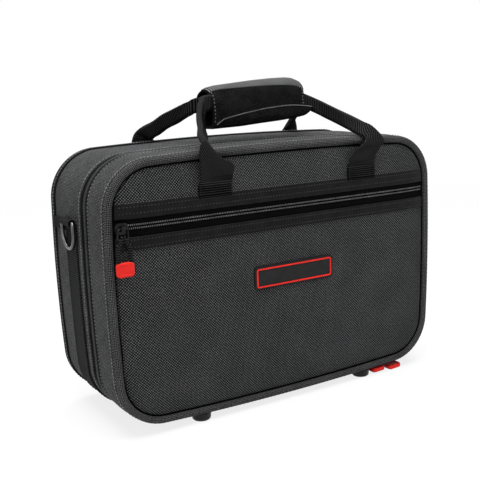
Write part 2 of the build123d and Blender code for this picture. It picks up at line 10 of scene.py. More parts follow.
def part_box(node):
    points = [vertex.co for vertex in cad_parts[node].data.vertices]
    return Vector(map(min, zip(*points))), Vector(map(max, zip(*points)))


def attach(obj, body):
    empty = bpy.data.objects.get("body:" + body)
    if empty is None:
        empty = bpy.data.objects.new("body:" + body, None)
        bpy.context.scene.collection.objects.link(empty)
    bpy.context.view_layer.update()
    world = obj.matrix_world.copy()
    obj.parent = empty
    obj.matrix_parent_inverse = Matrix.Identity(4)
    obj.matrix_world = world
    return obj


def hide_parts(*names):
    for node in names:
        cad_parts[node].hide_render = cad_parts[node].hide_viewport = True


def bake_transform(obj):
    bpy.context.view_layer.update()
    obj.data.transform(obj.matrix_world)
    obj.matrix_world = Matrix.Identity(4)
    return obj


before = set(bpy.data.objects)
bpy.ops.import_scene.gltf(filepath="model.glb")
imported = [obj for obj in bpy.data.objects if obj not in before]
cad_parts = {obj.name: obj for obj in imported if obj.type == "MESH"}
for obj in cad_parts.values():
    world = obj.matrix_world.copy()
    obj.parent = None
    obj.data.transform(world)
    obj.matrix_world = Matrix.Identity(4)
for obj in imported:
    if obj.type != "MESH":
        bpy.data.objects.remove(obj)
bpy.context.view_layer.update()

# Looks for a soft-sided clarinet case. Shapes are worked out in millimetres in "case
# coordinates": x to the right, depth back from the front seam, height from the body's middle.

MM = 0.001
CLOTH = "cloth_mm"

# ---- the body, as the frame has it ----
LOW, HIGH = (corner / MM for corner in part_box("rear_gusset"))
FRONT_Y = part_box("front_piping")[0].y / MM
CENTRE_Z = (LOW.z + HIGH.z) / 2
HALF_WIDTH = (HIGH.x - LOW.x) / 2
HALF_HEIGHT = (HIGH.z - LOW.z) / 2
SIDE_CROWN = 3.6
END_CROWN = 4.6
CORNER_RADIUS = 43.0
SKIN = 1.4
RIM_STEP = 1.5

# ---- depths and heights ----
PIPING = 3.1
GUSSET_FRONT = 6.2
ZIP_FRONT = 39.8
PARTING = 46.0
ZIP_REAR = 56.0
BINDING_FRONT = 117.8
REAR_FACE = 125.4
PANEL_FACE = -1.2
PANEL_INSET = 7.4
FLANGE_FACE = -2.2
BAND_TOP = 78.8
BAND_BOTTOM = 41.0
BAND_OVERLAP = 7.0
STRIP_THICKNESS = 1.1
UPPER_EDGE = 66.5
LOWER_EDGE = 52.0
COIL_Z = 60.3
ZIP_PITCH = 1.3
POCKET_PITCH = 1.6
RIB = 2.0
RIB_STEP = 0.42
WEB_THICKNESS = 1.6
STRAP_WIDTH = 32.0
TOOTH_RADIUS = 0.42
ZIP_END_X = 98.0
WEB_FRONT = 64.0
WEB_REAR = 89.0
WEB_TOP = 52.0
TAB_BOTTOM = 47.5
TAB_TOP = 57.5
GRIP_DEPTH = 62.1
FOAM_INNER = 12.4
PAD_INSET = 12.7
PAD_FRONT = 16.5
PAD_REAR = 23.5
POCKET_LINING = 5.7
LID_WALL_FRONT = 6.4
LID_WALL_REAR = 39.0
BASE_WALL_FRONT = 55.2
BASE_WALL_REAR = 123.4


# ---- the photograph's viewpoint: metres, degrees, and millimetres of lens ----
CAMERA_PLACE = (-0.40590, -0.66487, 0.29792)
CAMERA_YAW = 31.83
CAMERA_PITCH = 13.441
CAMERA_ROLL = -1.947
CAMERA_LENS = 62.357
CAMERA_SHIFT = (-0.03964, 0.06312)


def make_camera():
    yaw, pitch, roll = (radians(angle) for angle in (CAMERA_YAW, CAMERA_PITCH, CAMERA_ROLL))
    ahead = Vector((sin(yaw) * cos(pitch), cos(yaw) * cos(pitch), -sin(pitch)))
    level = ahead.cross(Vector((0, 0, 1))).normalized()
    upright = level.cross(ahead)
    right = cos(roll) * level + sin(roll) * upright
    up = cos(roll) * upright - sin(roll) * level
    data = bpy.data.cameras.new("camera")
    data.sensor_width = 36
    data.lens = CAMERA_LENS
    data.shift_x, data.shift_y = CAMERA_SHIFT
    camera = bpy.data.objects.new("camera", data)
    turn = Matrix((right, up, -ahead)).transposed().to_4x4()
    camera.matrix_world = Matrix.Translation(CAMERA_PLACE) @ turn
    bpy.context.scene.collection.objects.link(camera)
    bpy.context.scene.camera = camera


make_camera()


# ---- the rim: the case's crowned outline in front view ----

def stacked_places(*values):
    """Places from coordinates of shapes that fit together."""
    return np.stack(np.broadcast_arrays(*values), -1)


def arc_radius(half_span, crown):
    """Radius of the arc that rises by crown over twice half_span."""
    return (half_span ** 2 + crown ** 2) / (2 * crown)


def trace_rim():
    """Points and outward normals of the outline, anticlockwise from the bottom's middle."""
    side = arc_radius(HALF_HEIGHT - END_CROWN, SIDE_CROWN)
    end = arc_radius(HALF_WIDTH - SIDE_CROWN, END_CROWN)
    side_x, end_z = HALF_WIDTH - side, HALF_HEIGHT - end
    span = hypot(side_x, end_z)
    along = ((side - CORNER_RADIUS) ** 2 - (end - CORNER_RADIUS) ** 2 + span ** 2) / (2 * span)
    across = sqrt((side - CORNER_RADIUS) ** 2 - along ** 2)
    unit_x, unit_z = -side_x / span, end_z / span
    corner_x = side_x + unit_x * along - unit_z * across
    corner_z = unit_z * along + unit_x * across
    to_side = atan2(corner_z, corner_x - side_x)
    to_end = atan2(corner_z - end_z, corner_x)
    arcs = [
        (0, -end_z, end, -pi / 2, -to_end),
        (corner_x, -corner_z, CORNER_RADIUS, -to_end, -to_side),
        (side_x, 0, side, -to_side, to_side),
        (corner_x, corner_z, CORNER_RADIUS, to_side, to_end),
        (0, end_z, end, to_end, pi - to_end),
        (-corner_x, corner_z, CORNER_RADIUS, pi - to_end, pi - to_side),
        (-side_x, 0, side, pi - to_side, pi + to_side),
        (-corner_x, -corner_z, CORNER_RADIUS, pi + to_side, pi + to_end),
        (0, -end_z, end, pi + to_end, 1.5 * pi),
    ]
    points, normals = [], []
    for x, z, radius, start, stop in arcs:
        count = round(radius * (stop - start) / RIM_STEP)
        angle = np.linspace(start, stop, count, endpoint=False)
        normal = np.stack([np.cos(angle), np.sin(angle)], -1)
        points.append(np.array([x, z]) + radius * normal)
        normals.append(normal)
    return np.concatenate(points), np.concatenate(normals)


RIM, RIM_NORMAL = trace_rim()
RIM_STEPS = np.linalg.norm(np.roll(RIM, -1, 0) - RIM, axis=1)
RIM_S = np.concatenate([[0], np.cumsum(RIM_STEPS)[:-1]])
RIM_LENGTH = RIM_STEPS.sum()


def rim_at(distance, outward, depth):
    """Points at distances round the rim, set out from it and back from the front seam."""
    x, z, nx, nz = (
        np.interp(distance, RIM_S, values, period=RIM_LENGTH)
        for values in (RIM[:, 0], RIM[:, 1], RIM_NORMAL[:, 0], RIM_NORMAL[:, 1])
    )
    return stacked_places(x + outward * nx, depth, z + outward * nz)


def rim_normal(distance):
    """Outward directions at distances round the rim."""
    nx, nz = (np.interp(distance, RIM_S, n, period=RIM_LENGTH) for n in RIM_NORMAL.T)
    return np.stack([nx, np.zeros_like(nx), nz], -1)


def inset(x, z):
    """How far a point of the front view lies inside the outline."""
    reach = RIM_NORMAL[:, 0] * RIM[:, 0] + RIM_NORMAL[:, 1] * RIM[:, 1]
    flat = stacked_places(x, z).reshape(-1, 2)
    found = (reach[None] - flat @ RIM_NORMAL.T).min(1)
    return found.reshape(np.broadcast(x, z).shape)


def half_width(z, grow=0.0):
    """Half width of the outline, grown outwards, at heights z."""
    right = RIM_NORMAL[:, 0] > 0
    edge = RIM[right] + grow * RIM_NORMAL[right]
    return np.interp(z, edge[:, 1], edge[:, 0])


def rim_where(z):
    """Distance round the rim of the right-hand side at height z."""
    right = RIM_NORMAL[:, 0] > 0
    return float(np.interp(z, RIM[right][:, 1], RIM_S[right]))


# ---- meshes ----

def to_frame(points):
    """Case coordinates in millimetres to the frame's metres."""
    points = np.asarray(points, float)
    return (points + np.array([0, FRONT_Y, CENTRE_Z])) * MM


def make_piece(name, points, faces, cloth=None, sharp=60):
    """A mesh object from case coordinates; cloth gives each face corner's place on its fabric."""
    mesh = bpy.data.meshes.new(name)
    mesh.from_pydata(to_frame(points).tolist(), [], [list(face) for face in faces])
    if cloth is not None:
        layer = mesh.attributes.new(CLOTH, "FLOAT_VECTOR", "CORNER")
        flat = np.zeros((len(mesh.loops), 3), np.float32)
        flat[: len(cloth), :2] = cloth
        layer.data.foreach_set("vector", flat.ravel())
    work = bmesh.new()
    work.from_mesh(mesh)
    bmesh.ops.recalc_face_normals(work, faces=work.faces)
    work.to_mesh(mesh)
    work.free()
    mesh.shade_smooth()
    mesh.set_sharp_from_angle(angle=radians(sharp))
    piece = bpy.data.objects.new(name, mesh)
    bpy.context.scene.collection.objects.link(piece)
    return piece


def unit(vectors):
    """The same directions with a length of 1."""
    return vectors / np.linalg.norm(vectors, axis=-1, keepdims=True)


def line_run(line):
    """Length along a line at each of its points."""
    return np.concatenate([[0], np.cumsum(np.linalg.norm(np.diff(line, axis=0), axis=1))])


def running_length(points, axis, closed):
    """Length along one direction of a grid of points, averaged over the other."""
    after = np.roll(points, -1, axis)
    steps = np.linalg.norm(after - points, axis=-1).mean(1 - axis)
    return np.concatenate([[0], np.cumsum(steps if closed else steps[:-1])])


def grid_piece(name, points, round_u=False, round_v=True, sharp=60, slant=0.0):
    """A swept surface from a grid of points, its ends capped; slant shifts the cloth along it."""
    count_u, count_v = points.shape[:2]
    length_u = running_length(points, 0, round_u)
    length_v = running_length(points, 1, round_v)
    i, j = np.meshgrid(np.arange(len(length_u) - 1), np.arange(len(length_v) - 1), indexing="ij")
    i, j = i.ravel(), j.ravel()
    corners = [(i, j), (i + 1, j), (i + 1, j + 1), (i, j + 1)]
    faces = np.stack([(a % count_u) * count_v + b % count_v for a, b in corners], -1).tolist()
    shift = np.broadcast_to(slant, (count_u, count_v))
    cloth = np.stack(
        [np.stack([length_u[a] + shift[a % count_u, b % count_v], length_v[b]], -1) for a, b in corners], 1
    )
    if round_v and not round_u:
        ring = list(range(count_v))
        faces.append(ring[::-1])
        faces.append([(count_u - 1) * count_v + k for k in ring])
    return make_piece(name, points.reshape(-1, 3), faces, cloth.reshape(-1, 2), sharp)


def rounded_loop(corners, rounds=2):
    """A closed line through a few corners, with each corner cut to a curve."""
    line = np.array(corners, float)
    for _ in range(rounds):
        after = np.roll(line, -1, 0)
        line = np.stack([0.75 * line + 0.25 * after, 0.25 * line + 0.75 * after], 1).reshape(-1, 2)
    return line


def band_section(width, thickness, count=12):
    """Closed section of a flat band: distance across it, and distance out from its middle."""
    across = (width - thickness) / 2
    turn = np.linspace(-pi / 2, pi / 2, 7)
    run = np.linspace(-across, across, count)[1:-1]
    right = np.stack([across + thickness / 2 * np.cos(turn), thickness / 2 * np.sin(turn)], -1)
    top = np.stack([run[::-1], np.full(len(run), thickness / 2)], -1)
    return np.concatenate([right, top, -right, -top])


def bars(name, starts, ends, up, radius, arch=0.0, sides=6):
    """Many short rounded bars as one mesh: thread stitches, or the teeth of a zip."""
    share = np.array([0.0, 0.08, 0.3, 0.5, 0.7, 0.92, 1.0])
    width = np.array([0.25, 0.75, 1.0, 1.0, 1.0, 0.75, 0.25]) * radius
    side = unit(np.cross(unit(ends - starts), up))
    middle = starts[:, None] + (ends - starts)[:, None] * share[None, :, None]
    middle = middle + (arch * np.sin(pi * share))[None, :, None] * up[:, None]
    turn = np.linspace(0, 2 * pi, sides, endpoint=False)
    spread = np.cos(turn)[:, None] * side[:, None, None] + np.sin(turn)[:, None] * up[:, None, None]
    points = middle[:, :, None] + width[None, :, None, None] * spread
    bar, ring = len(share) * sides, np.arange(sides)
    faces = []
    for level in range(len(share) - 1):
        low = level * sides
        after = (ring + 1) % sides
        faces.append(np.stack([low + ring, low + after, low + sides + after, low + sides + ring], -1))
    one = np.concatenate(faces)
    quads = (one[None] + bar * np.arange(len(starts))[:, None, None]).reshape(-1, 4).tolist()
    for first in range(0, bar * len(starts), bar):
        quads.append(list(range(first, first + sides))[::-1])
        quads.append(list(range(first + bar - sides, first + bar)))
    return make_piece(name, points.reshape(-1, 3), quads)


def stitch_ends(line, up, pitch, share):
    """Where each stitch along a line starts and ends, and which way is out there."""
    line, up = np.asarray(line, float), np.asarray(up, float)
    run = line_run(line)
    count = max(1, round(run[-1] / pitch))
    first = (np.arange(count) + (1 - share) / 2) * run[-1] / count
    last = first + share * run[-1] / count

    def read(values, at):
        return np.stack([np.interp(at, run, values[:, k]) for k in range(3)], -1)

    out = read(up, (first + last) / 2)
    return read(line, first), read(line, last), unit(out)


def stitches(name, rows, pitch=3.2, share=0.72, radius=0.3, arch=0.22):
    """Rows of thread stitches as one piece; a row is its line and the outward directions."""
    parts = [stitch_ends(line, up, pitch, share) for line, up in rows]
    starts, ends, up = (np.concatenate(values) for values in zip(*parts))
    return bars(name, starts, ends, up, radius, arch)


# ---- materials ----

def add_node(tree, kind, inputs, **settings):
    """A node with its settings; each input is a value, or a socket to link to it."""
    node = tree.nodes.new(kind)
    for key, value in settings.items():
        setattr(node, key, value)
    for key, value in inputs.items():
        if isinstance(value, bpy.types.NodeSocket):
            tree.links.new(value, node.inputs[key])
        else:
            node.inputs[key].default_value = value
    return node


class Paint:
    """A material being made: its shader, and short ways to add nodes to it."""

    def __init__(self, name, roughness, specular=0.5, metallic=0.0):
        self.material = bpy.data.materials.new(name)
        self.material.use_nodes = True
        self.tree = self.material.node_tree
        self.shader = self.tree.nodes["Principled BSDF"]
        self.put("Roughness", roughness)
        self.put("Specular IOR Level", specular)
        self.put("Metallic", metallic)

    def put(self, socket, value):
        """Sets or links one of the shader's sockets."""
        if isinstance(value, bpy.types.NodeSocket):
            self.tree.links.new(value, self.shader.inputs[socket])
        else:
            self.shader.inputs[socket].default_value = value

    def add(self, kind, inputs, **settings):
        return add_node(self.tree, kind, inputs, **settings)

    def math(self, operation, a, b=0.0, c=0.0):
        return self.add("ShaderNodeMath", {0: a, 1: b, 2: c}, operation=operation).outputs[0]

    def vary(self, tone, factor, share):
        """A tone with some of a noise added, centred so that the tone keeps its level."""
        return self.math("ADD", tone, self.math("MULTIPLY_ADD", factor, share, -share / 2))

    def cloth(self):
        """Place on the fabric in mm: as a vector, and along and across the piece."""
        place = self.add("ShaderNodeAttribute", {}, attribute_name=CLOTH).outputs["Vector"]
        parts = self.add("ShaderNodeSeparateXYZ", {0: place}).outputs
        return place, parts[0], parts[1]

    def solid(self):
        """Place in the object, in mm."""
        place = self.add("ShaderNodeTexCoord", {}).outputs["Object"]
        settings = {0: place, "Scale": 1 / MM}
        return self.add("ShaderNodeVectorMath", settings, operation="SCALE").outputs[0]

    def noise(self, place, size, detail=2.0):
        settings = {"Vector": place, "Scale": 1 / size, "Detail": detail}
        return self.add("ShaderNodeTexNoise", settings).outputs["Fac"]

    def wave(self, along, pitch):
        """A row of rounded ridges, one in each pitch."""
        turned = self.math("MULTIPLY", along, pi / pitch)
        return self.math("ABSOLUTE", self.math("SINE", turned))

    def ramp(self, factor, stops):
        node = self.add("ShaderNodeValToRGB", {"Fac": factor})
        elements = node.color_ramp.elements
        while len(elements) < len(stops):
            elements.new(0.5)
        for element, (place, colour) in zip(elements, stops):
            element.position = place
            element.color = (*colour, 1)
        return node.outputs["Color"]

    def bump(self, *layers):
        """Layers of relief, each a height and its depth in mm."""
        normal = None
        for height, depth in layers:
            inputs = {"Height": height, "Distance": depth * MM, "Strength": 1.0}
            if normal is not None:
                inputs["Normal"] = normal
            normal = self.add("ShaderNodeBump", inputs).outputs["Normal"]
        self.put("Normal", normal)


def grey(level, warm=0.0):
    """A near-neutral colour from its linear brightness."""
    return (level * (1 + warm), level, level * (1 - warm))


def weave_paint(name, cell, dark, light, relief=0.22, bias=0.0, contrast=0.6, zigzag=0.0):
    """Basket weave: small square cells, by turns warp and weft. Light is painted into its colour: the cells
    are painted lighter and darker by turns, as if each direction caught the light apart, and each cell's
    dome is painted brighter towards its top, a painted highlight for the threads' gloss.
    """
    paint = Paint(name, 0.75, 0.07)
    place = paint.cloth()[0]
    turned = {"Vector": place, "Rotation": (0, 0, bias)}
    place = paint.add("ShaderNodeMapping", turned).outputs["Vector"]
    along, across = paint.add("ShaderNodeSeparateXYZ", {0: place}).outputs[:2]
    scaled = {0: place, "Scale": 1 / cell}
    cells = paint.add("ShaderNodeVectorMath", scaled, operation="SCALE").outputs[0]
    checks = paint.add("ShaderNodeTexChecker", {"Vector": cells, "Scale": 1.0}).outputs["Fac"]
    dome = paint.math("MULTIPLY", paint.wave(along, cell), paint.wave(across, cell))
    speck = paint.noise(place, 1.5 * cell)
    worn = paint.noise(place, 34.0)
    # Painted light and shade: alternate cells lighter and darker.
    painted_cell_light = paint.math("MULTIPLY_ADD", checks, contrast, 0.9 - contrast)
    if zigzag:
        fold = paint.math("ADD", along, paint.math("PINGPONG", across, zigzag))
        streak = paint.wave(fold, 2.4 * cell)
        painted_cell_light = paint.math("MULTIPLY", painted_cell_light, paint.math("MULTIPLY_ADD", streak, 0.75, 0.4))
    # Painted highlight: brighter towards the top of each cell's dome.
    tone = paint.math("MULTIPLY", painted_cell_light, paint.math("POWER", dome, 1.2))
    tone = paint.vary(paint.vary(tone, speck, 0.55), worn, 0.2)
    paint.put("Base Color", paint.ramp(tone, [(0.05, dark), (0.8, light)]))
    paint.bump((dome, relief), (paint.noise(place, 0.4), 0.05))
    return paint.material


def rib_paint(name, pitch, dark, light, thread=0.8, roughness=0.6):
    """Webbing or binding tape: ribs across its run, split by fine threads. Its colour holds a painted
    highlight on each rib's crest and painted shade in the splits between threads.
    """
    paint = Paint(name, roughness, 0.02)
    place, along, across = paint.cloth()
    rib = paint.math("POWER", paint.wave(along, pitch), 3.0)
    split = paint.wave(across, thread)
    fibre = paint.noise(place, 0.4)
    worn = paint.noise(place, 22.0)
    # Painted highlight on each rib's crest, and painted shade in the splits between threads.
    tone = paint.math("MULTIPLY", rib, paint.math("MULTIPLY_ADD", split, 0.35, 0.55))
    tone = paint.vary(paint.vary(tone, fibre, 0.6), worn, 0.3)
    paint.put("Base Color", paint.ramp(tone, [(0.05, dark), (0.95, light)]))
    paint.bump((rib, 0.3), (split, 0.1), (fibre, 0.08))
    return paint.material


def pile_paint(name, dark, light, size=0.9, depth=0.5, lint=0.0):
    """A brushed or looped pile, with no weave to be seen; lint is the paler ends of its loops."""
    paint = Paint(name, 0.95, 0.01)
    place = paint.solid()
    tuft = paint.noise(place, size, 4.0)
    tone = paint.vary(tuft, paint.noise(place, 14.0), 0.4)
    ends = paint.ramp(paint.noise(place, 0.7 * size, 1.0), [(0.62, grey(0.0)), (0.74, grey(lint))])
    tone = paint.math("ADD", tone, ends)
    paint.put("Base Color", paint.ramp(tone, [(0.3, dark), (0.75, light)]))
    paint.bump((tuft, depth))
    return paint.material


def moulded_paint(name, low, high, roughness, specular=0.5, grain=0.05, size=0.6, coat=0.0):
    """Moulded rubber or plastic: a fine grain, a little uneven in colour and polish."""
    paint = Paint(name, roughness, specular)
    place = paint.solid()
    speck = paint.noise(place, size, 3.0)
    patch = paint.noise(place, 9.0)
    paint.put("Base Color", paint.ramp(patch, [(0.35, low), (0.65, high)]))
    worn = paint.ramp(speck, [(0.3, grey(roughness - 0.06)), (0.7, grey(roughness + 0.06))])
    paint.put("Roughness", worn)
    paint.put("Coat Weight", coat)
    paint.put("Coat Roughness", 0.2)
    paint.bump((speck, grain))
    return paint.material


def metal_paint(name, low, high, roughness):
    """Plated metal with faint wear in its polish."""
    paint = Paint(name, roughness, 0.5, metallic=1.0)
    place = paint.solid()
    speck = paint.noise(place, 0.8, 4.0)
    patch = paint.noise(place, 5.0)
    paint.put("Base Color", paint.ramp(patch, [(0.3, low), (0.7, high)]))
    paint.put("Roughness", paint.ramp(speck, [(0.3, grey(roughness)), (0.7, grey(roughness + 0.12))]))
    paint.bump((speck, 0.02))
    return paint.material


def strip_paint(name):
    """Coated strip: glossy film over a fine cloth."""
    paint = Paint(name, 0.34, 0.1)
    place, along, across = paint.cloth()
    grain = paint.math("MULTIPLY", paint.wave(along, 0.9), paint.wave(across, 0.9))
    patch = paint.noise(place, 11.0)
    paint.put("Base Color", paint.ramp(patch, [(0.3, grey(0.002)), (0.7, grey(0.006))]))
    paint.put("Roughness", paint.ramp(patch, [(0.3, grey(0.28)), (0.7, grey(0.4))]))
    paint.bump((grain, 0.05), (paint.noise(place, 6.0), 0.35))
    return paint.material


WEAVE = weave_paint("ballistic_weave", 1.25, grey(0.001), grey(0.15, -0.02), 0.25, 0.0, 0.78)
GUSSET = weave_paint("gusset_twill", 1.2, grey(0.002), grey(0.19, -0.02), 0.2, 0.0, 0.6, 4.0)
PIPING_CLOTH = weave_paint("piping_cloth", 1.0, grey(0.002), grey(0.17), 0.25, radians(45), 0.7)
# Near-black welt cloth: painted shade for the shadow in the groove beside the piping, on the panel's dark
# seam allowance.
SHADE_WELT = pile_paint("seam_painted_shade_welt", grey(0.001), grey(0.004), 0.5, 0.1)
BINDING = rib_paint("binding_tape", 2.2, grey(0.001), grey(0.03), 1.3)
WEBBING = rib_paint("webbing", RIB, grey(0.0), grey(0.04))
# A darker copy of the webbing for the straps' sewn ends: painted shade.
SHADED_WEBBING = rib_paint("webbing_painted_shade", RIB, grey(0.0), grey(0.012))
# Pale ribbed colour for the grip's top band: a painted highlight on the wrap's crest.
GRIP_BAND_HIGHLIGHT = rib_paint("grip_band_painted_highlight", 2.4, grey(0.001), grey(0.22), 0.9)
ZIP_TAPE = rib_paint("zip_tape", 0.8, grey(0.0005), grey(0.006, -0.06), 0.8)
THREAD = moulded_paint("thread", grey(0.13), grey(0.2), 0.6, 0.1, 0.08, 0.3)
DARK_THREAD = moulded_paint("dark_thread", grey(0.012), grey(0.03), 0.6, 0.1, 0.08, 0.3)
COIL = moulded_paint("coil_plastic", grey(0.06), grey(0.12), 0.4, 0.3)
DARK_COIL = moulded_paint("dark_coil", grey(0.008), grey(0.02), 0.4, 0.25)
STRIP = strip_paint("coated_strip")
VELOUR = pile_paint("loop_velour", grey(0.0005), grey(0.016), 0.9, 0.6, 0.6)
PLUSH = pile_paint("plush", grey(0.008), grey(0.035), 1.2, 0.6)
LINING = pile_paint("lining", grey(0.015), grey(0.04), 0.5, 0.2)
RUBBER = moulded_paint("black_rubber", grey(0.004), grey(0.007), 0.45, 0.2)
RED = moulded_paint("red_rubber", (0.56, 0.014, 0.01), (0.63, 0.018, 0.013), 0.4, 0.12)
SLIDER = metal_paint("slider_metal", grey(0.012), grey(0.03), 0.3)
RING_METAL = metal_paint("ring_metal", grey(0.07), grey(0.13), 0.16)


def finish_piece(piece, material, slot, body, *nodes):
    """Gives a piece its finish, the body it rides on, and the CAD nodes it stands for."""
    piece.data.materials.clear()
    piece.data.materials.append(material)
    if nodes:
        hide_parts(*nodes)
    if body:
        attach(piece, body)
    return piece


# ---- shell: gussets, piping, binding and panels ----

def ripple(along, across):
    """Slow unevenness of stretched cloth, within about 1."""
    first = np.sin(along / 23.0 + 1.3) * np.sin(across / 11.0 + 0.4)
    second = np.sin(along / 9.7 - across / 14.0) * np.cos(across / 7.3 + 2.1)
    third = np.sin(along / 51.0 + 4.0) * np.cos(across / 19.0)
    return 0.4 * first + 0.25 * second + 0.35 * third


def strip_section(front, back, bulge=0.0, sink=0.0, thickness=SKIN, count=18, roll=1.2):
    """Closed section of cloth round the rim, rolled in at both edges: outward and depth."""
    share = (1 - np.cos(np.linspace(0, pi, count))) / 2
    edge = np.minimum(share, 1 - share) * (back - front)
    outward = bulge * np.sin(pi * share) - sink - roll * np.exp(-edge / 0.6)
    depth = front + (back - front) * share
    outer = np.stack([outward, depth], -1)
    inner = np.stack([outward - thickness, depth], -1)[::-1]
    return np.concatenate([outer, inner])


def rim_piece(name, section, start=0.0, stop=RIM_LENGTH, step=RIM_STEP, waves=0.0):
    """A section swept round the rim, all the way or between two distances."""
    closed = stop - start > RIM_LENGTH - 1
    count = round((stop - start) / step)
    distance = np.linspace(start, stop, count, endpoint=not closed)[:, None]
    section = np.asarray(section, float)
    outward = section[None, :, 0] + waves * ripple(distance, section[None, :, 1])
    points = rim_at(distance, outward, section[None, :, 1])
    return grid_piece(name, points, round_u=closed)


def rim_row(outward, depth, start=0.0, stop=RIM_LENGTH):
    """A line round the rim, with its outward directions, for stitches."""
    distance = np.linspace(start, stop, round((stop - start) / RIM_STEP))
    return rim_at(distance, outward, depth), rim_normal(distance)


def piping():
    """The cord sewn round the front's edge, faintly beaded by its stitches."""
    turn = np.linspace(0, 2 * pi, 20, endpoint=False)
    count = round(RIM_LENGTH / 1.05)
    distance = np.linspace(0, RIM_LENGTH, count, endpoint=False)[:, None]
    radius = PIPING + 0.07 * np.sin(2 * pi * distance / 4.2)
    points = rim_at(distance, radius * np.cos(turn) - PIPING, PIPING + radius * np.sin(turn))
    return grid_piece("front_piping_cord", points, round_u=True)


ROLL_WIDTH = 5.5
ROLL_DEPTH = 2.1
LEAN_WIDTH = 34


def panel_depth(x, z, face=PANEL_FACE, inward=1, lean=3.4):
    """Depth of a panel's face: it leans back towards the rim, and rolls away to its seam."""
    inside = inset(x, z) - PANEL_INSET
    near = 1 - np.clip(inside / ROLL_WIDTH, 0, 1)
    wide = 1 - np.clip(inside / LEAN_WIDTH, 0, 1)
    roll = ROLL_DEPTH * (1 - np.sqrt(1 - near ** 2)) + lean * wide ** 1.9
    return face + inward * (roll - 0.14 * (1 - near) * ripple(x, z))


def panel_mesh(depth_at, low=None, high=None, inset_by=PANEL_INSET, grid=4.0):
    """A sheet that fills the outline at an inset, cut level at a lower or upper height."""
    rings = [RIM - (inset_by + step) * RIM_NORMAL for step in (0, 0.5, 1.1, 1.9, 3.0, 4.4, 6.2, 8.4)]
    flat = [ring[(index % 2)::2] for index, ring in enumerate(rings)]
    border = len(flat[0])
    xs = np.arange(-HALF_WIDTH, HALF_WIDTH, grid)
    zs = np.arange(-HALF_HEIGHT, HALF_HEIGHT, grid)
    inner = np.stack(np.meshgrid(xs, zs, indexing="ij"), -1).reshape(-1, 2)
    flat.append(inner[inset(inner[:, 0], inner[:, 1]) > inset_by + 10.4])
    flat = np.concatenate(flat)
    edges = [(k, (k + 1) % border) for k in range(border)]
    found = delaunay_2d_cdt([Vector(point) for point in flat], edges, [], 1, 1e-5)
    work = bmesh.new()
    corners = [work.verts.new((point.x, 0, point.y)) for point in found[0]]
    for face in found[2]:
        work.faces.new([corners[k] for k in face])
    for height, side in ((low, -1), (high, 1)):
        if height is not None:
            parts = work.verts[:] + work.edges[:] + work.faces[:]
            cut = {"plane_co": (0, 0, height), "plane_no": (0, 0, side)}
            bmesh.ops.bisect_plane(work, geom=parts, clear_outer=True, dist=1e-4, **cut)
    work.verts.index_update()
    points = np.array([vertex.co for vertex in work.verts])
    faces = [[vertex.index for vertex in face.verts] for face in work.faces]
    work.free()
    points[:, 1] = depth_at(points[:, 0], points[:, 2])
    return points, faces


def sheet_piece(name, points, faces, thickness):
    """A sheet in front view given its thickness backwards, with closed edges."""
    count = len(points)
    back = points + np.array([0, thickness, 0])
    edges = {}
    for face in faces:
        for a, b in zip(face, face[1:] + face[:1]):
            edges[(a, b)] = edges.get((a, b), 0) + 1
    border = [(a, b) for a, b in edges if (b, a) not in edges]
    sides = [[b, a, a + count, b + count] for a, b in border]
    both = faces + [[k + count for k in reversed(face)] for face in faces] + sides
    points = np.concatenate([points, back])
    cloth = np.array([points[k][[0, 2]] for face in both for k in face])
    return make_piece(name, points, both, cloth)


def make_shell():
    section = strip_section(GUSSET_FRONT, ZIP_FRONT, 0.9, roll=2.4)
    gusset = rim_piece("front_gusset_cloth", section, waves=0.35)
    finish_piece(gusset, GUSSET, "gusset_twill", "lid", "front_gusset")
    rear = rim_piece("rear_gusset_cloth", strip_section(ZIP_REAR, BINDING_FRONT + 1.5, 1.0), waves=0.35)
    finish_piece(rear, GUSSET, "gusset_twill", "base", "rear_gusset")
    finish_piece(piping(), PIPING_CLOTH, "gusset_twill", "lid", "front_piping")
    # A near-black strip filling the groove behind the piping: painted shade for the groove's shadow, and the
    # panel's dark seam allowance.
    welt = [(-0.7, 5.2), (-0.7, 6.5), (-3.0, 7.0), (-9.6, 6.6), (-10.2, 4.4), (-6.4, 3.4), (-5.0, 3.6)]
    seam = rim_piece("front_seam_painted_shade_welt", rounded_loop(welt))
    finish_piece(seam, SHADE_WELT, "gusset_twill", "lid")
    tape = [(-1.6, 118.4), (0.4, 117.8), (1.3, 118.2), (1.5, 120), (1.5, 124), (1.2, 126.4)]
    tape += [(-1, 126.6), (-4.4, 126.5), (-5.2, 126.2), (-5, 125.2), (-2, 124.8), (-1, 123.5)]
    binding = rim_piece("rear_binding_tape", rounded_loop(tape), waves=0.12)
    finish_piece(binding, BINDING, "binding", "base", "rear_binding")
    rows = [rim_row(0.3, GUSSET_FRONT + 2.2), rim_row(0.3, ZIP_FRONT - 1.8)]
    finish_piece(stitches("lid_seam_stitches", rows, radius=0.32), THREAD, "gusset_twill", "lid")
    rows = [rim_row(0.3, ZIP_REAR + 1.8), rim_row(1.5, BINDING_FRONT + 1.6)]
    finish_piece(stitches("base_seam_stitches", rows, radius=0.32), THREAD, "gusset_twill", "base")


def make_panels():
    cuts = {"upper": {"low": BAND_TOP - BAND_OVERLAP}, "lower": {"high": BAND_BOTTOM + BAND_OVERLAP}}
    for word, cut in cuts.items():
        node = "front_panel_" + word
        panel = sheet_piece(node + "_cloth", *panel_mesh(panel_depth, **cut), 2.0)
        finish_piece(panel, WEAVE, "ballistic_weave", "lid", node)

    def rear_depth(x, z):
        return panel_depth(x, z, REAR_FACE, -1, 1.2)

    rear = sheet_piece("rear_panel_cloth", *panel_mesh(rear_depth, inset_by=3.0), -2.0)
    finish_piece(rear, WEAVE, "ballistic_weave", "base", "rear_panel")


# ---- pocket band on the front, and the two zips ----

